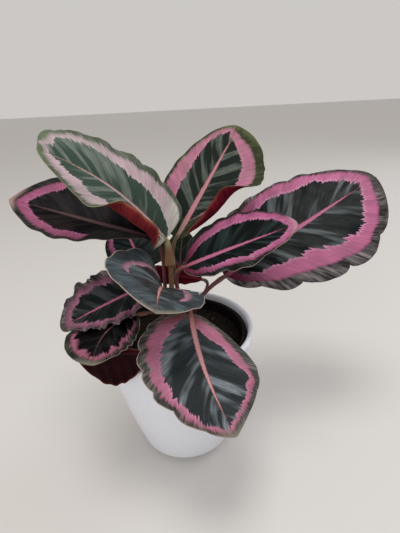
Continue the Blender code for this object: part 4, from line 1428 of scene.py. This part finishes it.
    def _store_runs(self, mesh: Mesh, rows: np.ndarray, across: np.ndarray, edge: np.ndarray) -> None:
        """Store what the finishes read: the places along the veins and within the painting.

        Args:
            mesh: The blade's mesh.
            rows: Stations along the midrib.
            across: Stations from margin to margin.
            edge: Numbers of the points round the margin.
        """
        leaf = self.leaf
        zones, rim = self.zones(rows, across)
        hem = np.broadcast_to(np.array(leaf.hem)[(across > 0.0).astype(int)], rim.shape)
        rims = np.stack([rim, hem, self.relief(rows, across)[1]], -1)
        out = np.abs(across)[None, :]
        vein = leaf.veins(rows[:, None], out) + 5.0 * leaf.seed
        run = np.stack([vein, np.broadcast_to(across[None, :], vein.shape),
                        np.broadcast_to(rows[:, None], vein.shape)], -1)
        for name, values in ((RUN, run), (ZONES, zones), (RIM, rims)):
            flat = values.reshape(-1, 3)
            set_values(mesh, name, np.concatenate([flat, flat, flat[edge]]))

    def dress(self, wardrobe: Wardrobe) -> Object:
        """Make the blade and give it its three finishes.

        Args:
            wardrobe: The leaves' materials.

        Returns:
            The finished blade.
        """
        mesh = self.build()
        coat = self.leaf.coat
        upper = wardrobe.upper[self.leaf.finish.name]
        for material in (upper, wardrobe.lower[coat], wardrobe.edge[coat]):
            mesh.materials.append(material)
        slot = Slot.YOUNG_BLADE if coat is Coat.YOUNG else Slot.BLADE
        return settle(link("leaf_" + self.leaf.name, mesh), slot, "blade_" + self.leaf.name)


@dataclass
class Stalk:
    """A leaf's stalk: sheathed foot, slim middle and a swollen joint that runs on into the midrib."""

    leaf: Leaf
    trees: Trees
    crown_top: float
    gap: float = 0.0006              # clear of the crown and the blade in the solid model
    steps: int = 64
    sink: float = 0.003              # how deep the foot stands in the crown
    joint_swell: float = 0.0004
    joint_place: float = 0.90
    joint_spread: float = 0.07
    collar_end: float = 0.97
    tail: float = 0.0045             # how far the stalk runs on under the blade
    tail_drop: float = 0.0007
    tail_taper: float = 0.75
    tail_steps: int = 6

    def course(self) -> tuple[np.ndarray, np.ndarray, np.ndarray]:
        """Work out the stalk's course.

        Returns:
            Points of its centre line, the radius at each, and how far up the stalk each is.
        """
        samples = np.linspace(0.0, 1.0, self.steps)
        path = self.leaf.stalk_path(samples, self.crown_top, self.gap)
        sheath_end = self.leaf.sheath_end
        slim = self.leaf.slim
        sheath = (self.leaf.sheath - slim) * np.clip(1.0 - samples / sheath_end, 0.0, 1.0) ** 0.8
        joint = self.joint_swell * np.exp(-((samples - self.joint_place) / self.joint_spread) ** 2)
        mouth, end = self.leaf.collar_mouth, self.collar_end
        sleeve = self.leaf.collar * np.clip((end - samples) / (end - mouth), 0.0, 1.0)
        radius = slim + sheath + joint + sleeve * smoothstep(samples, mouth - 0.02, mouth + 0.01)
        _, ahead, _, up = (line[0] for line in self.leaf.frames(np.array([0.0])))
        reach = np.linspace(0.0, 1.0, self.tail_steps + 1)[1:, None]
        tail = np.array(self.leaf.base) + ahead * self.tail * reach - up * self.tail_drop * reach
        foot = path[:1] - np.array([0.0, 0.0, self.sink])
        path = np.vstack([foot, path, tail])
        radius = np.concatenate([radius[:1], radius, slim * (1.0 - self.tail_taper * reach[:, 0])])
        return path, radius, np.concatenate([[0.0], samples, np.ones(len(reach))])

    def dress(self, wardrobe: Wardrobe) -> Object:
        """Sweep the stalk along its course and give it its finish.

        Args:
            wardrobe: The leaves' materials.

        Returns:
            The finished stalk.
        """
        path, radius, run = self.course()
        line = bpy.data.meshes.new("stalk_line")
        line.from_pydata(path.tolist(), [(k, k + 1) for k in range(len(path) - 1)], [])
        set_values(line, GIRTH, radius)
        set_values(line, STALK_RUN, run)
        piece = link("stalk_" + self.leaf.name, line)
        swept = grown(piece, self.trees.stalk, Material=wardrobe.stalk[self.leaf.coat])
        face_out(swept)
        piece.data = swept
        bpy.data.meshes.remove(line)
        return settle(piece, Slot.PETIOLE, "petiole_" + self.leaf.name)


# ------------------------------------------------------------------ pots and soil
@dataclass
class CoverPot:
    """Tapered cover pot: flat foot, rounded foot corner, faintly bulged wall and a rounded lip."""

    low: Vector
    high: Vector
    foot_share: float = 0.044 / 0.070
    bulge: float = 0.0035
    corner: float = 0.009
    wall: float = 0.0052
    floor: float = 0.006
    floor_round: float = 0.004
    steps: int = 160

    def radius(self, height: float) -> float:
        """Outer radius of the wall.

        Args:
            height: Height to read it at.

        Returns:
            The radius.
        """
        part = (height - self.low.z) / (self.high.z - self.low.z)
        top = self.high.x
        foot = top * self.foot_share
        return foot + (top - foot) * part + self.bulge * math.sin(math.pi * part)

    def outline(self) -> list[Pair]:
        """Draw the pot's half section: from the middle of the foot up, over the lip and down inside.

        Returns:
            Radius and height of each point.
        """
        base, top = self.low.z, self.high.z
        points = [(0.0, base), (0.5 * self.radius(base), base)]
        for turn in np.linspace(0.0, 0.5 * math.pi, 11):
            height = base + self.corner * (1.0 - math.cos(turn))
            points.append((self.radius(height) - self.corner * (1.0 - math.sin(turn)), height))
        lip = self.wall / 2.0
        points += [(self.radius(h), h) for h in np.linspace(base + self.corner, top - lip, 40)[1:]]
        middle = self.radius(top - lip) - lip
        for turn in np.linspace(0.0, math.pi, 13)[1:-1]:
            points.append((middle + lip * math.cos(turn), top - lip + lip * math.sin(turn)))
        inner, corner = base + self.floor, self.floor_round
        down = np.linspace(top - lip, inner + 3.0 * corner, 30)
        points += [(self.radius(h) - self.wall, h) for h in down]
        inside = self.radius(inner) - self.wall
        points += [(inside - 0.3 * corner, inner + 0.55 * corner), (inside - corner, inner)]
        return points + [(0.0, inner)]

    def dress(self, finish: GlazeFinish) -> Object:
        """Turn the pot and glaze it.

        Args:
            finish: The glaze.

        Returns:
            The finished pot.
        """
        mesh = turned("glazed_cover_pot", self.outline(), self.steps)
        mesh.materials.append(finish.material())
        return settle(link("glazed_cover_pot", mesh), Slot.GLAZE, "cover_pot")


@dataclass
class GrowingPot:
    """Thin black pot inside the cover pot, with a turned-out rim and drain holes in its floor."""

    low: Vector
    high: Vector
    foot_share: float = 0.0390 / 0.0627
    wall: float = 0.0013
    rim_reach: float = 0.0022
    rim_height: float = 0.006
    rim_round: float = 0.0008
    corner: float = 0.004            # height of the foot's rounded corner
    drain_holes: int = 4
    hole_radius: float = 0.005
    hole_circle: float = 0.025
    plug_past: float = 0.002         # how far a hole's cutter stands out of the floor
    steps: int = 128

    def radius(self, height: float) -> float:
        """Outer radius of the wall.

        Args:
            height: Height to read it at.

        Returns:
            The radius.
        """
        part = (height - self.low.z) / (self.high.z - self.low.z)
        foot = self.high.x * self.foot_share
        return foot + (self.high.x - self.rim_reach - foot) * part

    def outline(self) -> list[Pair]:
        """Draw the pot's half section, from the middle of the foot up, over the rim and down inside.

        Returns:
            Radius and height of each point.
        """
        foot, top, wall, corner, lip = self.low.z, self.high.z, self.wall, self.corner, self.rim_round
        under = top - self.rim_height
        at_foot, at_under, mouth = self.radius(foot), self.radius(under), self.radius(top) - wall
        outside = self.radius(top) + self.rim_reach
        points = [(0.0, foot), (at_foot - 1.5 * corner, foot)]
        points.append((at_foot - 0.5 * corner, foot + 0.3 * corner))
        points += [(self.radius(h), h) for h in np.linspace(foot + corner, under, 12)]
        points += [(at_under + 0.6 * self.rim_reach, under + 0.5 * lip),
                   (at_under + self.rim_reach, under + 1.75 * lip), (outside, top - lip),
                   (outside - 0.375 * lip, top - 0.25 * lip), (outside - lip, top),
                   (mouth + 0.75 * lip, top), (mouth + 0.125 * lip, top - 0.375 * lip)]
        points += [(self.radius(h) - wall, h) for h in np.linspace(top - 1.25 * lip, foot + corner, 14)]
        return points + [(at_foot - 1.625 * corner, foot + wall), (0.0, foot + wall)]

    def dress(self, finish: PlasticFinish) -> Object:
        """Turn the pot, cut its drain holes and give it its finish.

        Args:
            finish: The plastic.

        Returns:
            The finished pot.
        """
        mesh = turned("growing_pot", self.outline(), self.steps)
        mesh.materials.append(finish.material())
        pot = link("growing_pot", mesh)
        cutters = [self._cutter(k) for k in range(self.drain_holes)]
        for cutter in cutters:
            cut = pot.modifiers.new("drain hole", "BOOLEAN")
            cut.object = cutter
        seen = pot.evaluated_get(bpy.context.evaluated_depsgraph_get())
        cut_mesh = bpy.data.meshes.new_from_object(seen)
        pot.modifiers.clear()
        pot.data = cut_mesh
        cut_mesh.set_sharp_from_angle(angle=math.radians(50))
        for cutter in cutters:
            bpy.data.objects.remove(cutter)
        return settle(pot, Slot.PLASTIC, "nursery_pot")

    def _cutter(self, index: int) -> Object:
        """Make a plug the size of one drain hole, standing through the floor.

        Args:
            index: Which hole.

        Returns:
            The plug.
        """
        turn = math.tau * (index + 0.5) / self.drain_holes
        low, high = self.low.z - self.plug_past, self.low.z + self.wall + self.plug_past
        outline = [(0.0, low), (self.hole_radius, low), (self.hole_radius, high), (0.0, high)]
        plug = turned("drain_hole", outline, 24)
        place = Vector((self.hole_circle * math.cos(turn), self.hole_circle * math.sin(turn), 0.0))
        plug.transform(Matrix.Translation(place))
        return link("drain_hole", plug)


@dataclass(frozen=True)
class Grain:
    """A kind of grain strewn over the mix."""

    name: str
    finish: EarthFinish
    density: float                   # grains for each square metre
    smallest: Point
    largest: Point
    sink: float                      # how deep each grain lies
    seed: int


@dataclass
class SoilBed:
    """Growing mix filling the inner pot, uneven on top and strewn with crumbs, bark and pale grains."""

    low: Vector
    high: Vector
    trees: Trees
    dip: float = 0.0008              # how far the bed lies below the top of its crumbs
    taper: float = 0.635             # width low down, as a share of the top's
    foot_shares: Pair = (0.55, 0.60)
    corner: float = 0.008
    gap: float = 0.0003              # clear of the pot at the surface
    rings: int = 46
    steps: int = 128
    waves: int = 18
    wave_pitch: float = 420.0
    swell: float = 0.000242
    sunk: float = 0.0004
    seed: int = 7

    CRUMB = EarthFinish("soil_crumb", (0.006, 0.004, 0.003), (0.028, 0.018, 0.013),
                        (0.10, 0.075, 0.055))
    BARK = EarthFinish("bark_chip", (0.050, 0.024, 0.012), (0.130, 0.070, 0.038), (0.20, 0.13, 0.08),
                       0.02, 500.0)
    PALE = EarthFinish("pale_grain", (0.42, 0.40, 0.36), (0.62, 0.60, 0.56), (0.16, 0.12, 0.09),
                       0.10, 400.0)
    GRAINS = (
        Grain("soil_crumbs", CRUMB, 190000.0, (0.0009, 0.0008, 0.0006), (0.0024, 0.0021, 0.0016),
              0.0002, 3),
        Grain("bark_chips", BARK, 7000.0, (0.0028, 0.0014, 0.0007), (0.0062, 0.0026, 0.0013), 0.0, 4),
        Grain("pale_grains", PALE, 3600.0, (0.0010, 0.0010, 0.0009), (0.0022, 0.0020, 0.0018),
              0.0001, 5),
    )

    def bed(self) -> Mesh:
        """Make the closed body of the mix.

        Returns:
            The mesh.
        """
        edge, foot, level = self.high.x, self.low.z, self.high.z - self.dip
        inner, outer = self.foot_shares
        outline = [(0.0, foot), (edge * inner, foot), (edge * outer, foot + 0.5 * self.corner)]
        outline += [(edge - (edge - edge * self.taper) * (level - h) / (level - foot), h)
                    for h in np.linspace(foot + self.corner, level - 0.25 * self.corner, 10)]
        outline += [(r, level) for r in np.linspace(edge - self.gap, 0.0, self.rings)]
        mesh = turned("soil_bed", outline, self.steps)
        waves = np.random.default_rng(self.seed).uniform(-1.0, 1.0, (self.waves, 4))
        for vertex in mesh.vertices:
            x, y, z = vertex.co
            if z > level - 0.0001 and math.hypot(x, y) < edge - self.dip:
                height = sum(amount * math.sin(self.wave_pitch * (over * x + up * y) + 6.0 * offset)
                             for amount, over, up, offset in waves)
                vertex.co.z += self.swell * height - self.sunk
        return mesh

    def dress(self) -> list[Object]:
        """Make the bed and strew its top.

        Returns:
            The bed and its grains.
        """
        mesh = self.bed()
        materials = {finish.name: finish.material() for finish in (self.CRUMB, self.BARK, self.PALE)}
        mesh.materials.append(materials[self.CRUMB.name])
        bed = link("soil_bed", mesh)
        strewn = []
        for grain in self.GRAINS:
            heap = grown(bed, self.trees.grains, Density=grain.density, Smallest=grain.smallest,
                         Largest=grain.largest, Unevenness=0.5, Sink=grain.sink, Seed=grain.seed,
                         Material=materials[grain.finish.name])
            strewn.append(link(grain.name, heap))
        pieces = [settle(bed, Slot.MIX, "potting_soil")]
        return pieces + [settle(piece, Slot.MIX) for piece in strewn]


@dataclass
class Crown:
    """Low rootstock the stalks rise from: lumpy, hung with short dry fibres."""

    low: Vector
    high: Vector
    trees: Trees
    steps: int = 96
    girth: float = 0.94              # share of the box that the plain mound fills
    squareness: float = 0.55         # 1 makes the mound round, 0 square-shouldered
    undercut: float = 0.45           # how far the mound turns in at its foot, in half turns

    # height, number and offset of the lumps round the mound, and how fast they climb it
    LUMPS = ((0.05, 5.0, 0.7, 0.0), (0.03, 9.0, 0.0, 0.0), (0.02, 17.0, 0.0, 900.0))
    FINISH = EarthFinish("rootstock", (0.050, 0.026, 0.015), (0.150, 0.085, 0.045), (0.24, 0.16, 0.09),
                         0.08, 300.0)
    FIBRE = EarthFinish("rootstock_fibre", (0.090, 0.050, 0.026), (0.220, 0.140, 0.080),
                        (0.30, 0.20, 0.12), 0.05, 600.0)

    def mound(self) -> Mesh:
        """Make the closed body of the rootstock.

        Returns:
            The mesh.
        """
        radius = self.girth * self.high.x
        height = self.high.z - self.low.z
        outline = [(0.0, self.low.z)]
        for turn in np.linspace(-self.undercut * math.pi, 0.5 * math.pi, 26)[:-1]:
            reach = radius * math.cos(turn) ** self.squareness
            outline.append((reach, self.low.z + height * (0.5 + 0.5 * math.sin(turn))))
        outline.append((0.0, self.high.z))
        mesh = turned("rootstock", outline, self.steps)
        for vertex in mesh.vertices:
            x, y, z = vertex.co
            swell = 1.0 + sum(amount * math.sin(count * math.atan2(y, x) + offset + climb * z)
                              for amount, count, offset, climb in self.LUMPS)
            vertex.co.x *= swell
            vertex.co.y *= swell
        return mesh

    def dress(self) -> list[Object]:
        """Make the rootstock and its fibres.

        Returns:
            The mound and its fibres.
        """
        mesh = self.mound()
        mesh.materials.append(self.FINISH.material())
        mound = link("rootstock", mesh)
        fibres = grown(mound, self.trees.fibres, Density=420000.0, Shortest=0.0018, Longest=0.0055,
                       Thickness=0.00028, Seed=8, Material=self.FIBRE.material())
        hair = link("rootstock_fibres", fibres)
        return [settle(mound, Slot.FIBRE, "crown"), settle(hair, Slot.FIBRE)]


# ------------------------------------------------------------------------ studio
@dataclass(frozen=True)
class Softbox:
    """A soft rectangular light that shines from its place at a target."""

    name: str
    place: Point
    target: Point
    size: Pair
    watts: float
    tint: Colour

    def hang(self) -> None:
        """Put the light in the scene."""
        lamp = bpy.data.lights.new(self.name, "AREA")
        lamp.shape = "RECTANGLE"
        lamp.size, lamp.size_y = self.size
        lamp.energy = self.watts
        lamp.color = self.tint
        made = bpy.data.objects.new(self.name, lamp)
        made.location = self.place
        aim = Vector(self.target) - Vector(self.place)
        made.rotation_euler = aim.to_track_quat("-Z", "Y").to_euler()
        made.visible_camera = False
        bpy.context.scene.collection.objects.link(made)


@dataclass
class Studio:
    """Plain pale floor, soft light and the camera."""

    eye: Point = (0.0225, -0.309, 0.332)
    pitch: float = 25.0              # how far the camera looks down
    roll: float = 3.0
    focal_units: float = 390.0       # distance to the picture plane, where its long side is 533 units
    long_side: float = 533.0
    sensor: float = 36.0
    floor_reach: float = 6.0
    floor_colour: Colour = (0.66, 0.635, 0.61)
    air: Colour = (0.60, 0.58, 0.56)
    air_strength: float = 1.0
    softboxes: tuple[Softbox, ...] = (
        Softbox("overhead", (-0.05, -0.25, 1.5), (0.0, 0.0, 0.15), (0.55, 0.45), 8.0, (1.0, 0.985, 0.96)),
        Softbox("window", (1.3, 0.75, 0.95), (0.0, 0.0, 0.15), (0.9, 1.1), 6.0, (0.84, 0.92, 1.0)),
        Softbox("fill", (-0.45, -1.3, 0.85), (0.0, 0.0, 0.10), (1.2, 0.9), 4.5, (0.97, 0.98, 1.0)),
    )

    def floor(self) -> Object:
        """Lay a wide sheet at height 0.

        Returns:
            The floor.
        """
        mesh = bpy.data.meshes.new("floor")
        signs = ((-1, -1), (1, -1), (1, 1), (-1, 1))
        corners = [(x * self.floor_reach, y * self.floor_reach, 0.0) for x, y in signs]
        mesh.from_pydata(corners, [], [(0, 1, 2, 3)])
        skin = Skin("floor", self.floor_colour, 0.55)
        skin.feed(skin.inputs["Roughness"], skin.spread(skin.cloud(6.0, 0.9), 0.50, 0.62))
        mesh.materials.append(skin.material)
        return link("floor", mesh)

    def camera(self) -> Object:
        """Place the camera, looking down on the plant from the front.

        Returns:
            The camera.
        """
        pitch, roll = math.radians(self.pitch), math.radians(self.roll)
        forward = Vector((0.0, math.cos(pitch), -math.sin(pitch)))
        right = Vector((1.0, 0.0, 0.0))
        down = Vector((0.0, -math.sin(pitch), -math.cos(pitch)))
        x_axis = right * math.cos(roll) + down * math.sin(roll)
        y_axis = right * math.sin(roll) - down * math.cos(roll)
        lens = bpy.data.cameras.new("camera")
        lens.sensor_width = self.sensor
        lens.lens = self.focal_units / self.long_side * self.sensor
        lens.clip_start = 0.01
        made = bpy.data.objects.new("camera", lens)
        turn = Matrix((x_axis, y_axis, -forward)).transposed().to_4x4()
        made.matrix_world = Matrix.Translation(Vector(self.eye)) @ turn
        bpy.context.scene.collection.objects.link(made)
        return made

    def set_up(self) -> None:
        """Lay the floor, hang the lights and place the camera."""
        self.floor()
        scene = bpy.context.scene
        world = bpy.data.worlds.new("studio_air")
        world.use_nodes = True
        air = world.node_tree.nodes["Background"]
        air.inputs["Color"].default_value = (*self.air, 1.0)
        air.inputs["Strength"].default_value = self.air_strength
        scene.world = world
        scene.view_settings.view_transform = "Standard"
        for softbox in self.softboxes:
            softbox.hang()
        scene.camera = self.camera()


def main() -> None:
    """Build every piece around the frame, in order."""
    logging.basicConfig(level=logging.INFO, format="%(name)s: %(message)s")
    Studio().set_up()
    trees = Trees()
    wardrobe = Wardrobe()
    CoverPot(*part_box("cover_pot")).dress(GlazeFinish())
    GrowingPot(*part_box("nursery_pot")).dress(PlasticFinish())
    SoilBed(*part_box("potting_soil"), trees).dress()
    crown_low, crown_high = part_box("crown")
    Crown(crown_low, crown_high, trees).dress()
    for leaf in LEAVES:
        Blade(leaf).dress(wardrobe)
        Stalk(leaf, trees, crown_high.z).dress(wardrobe)


if __name__ == "__main__":
    main()
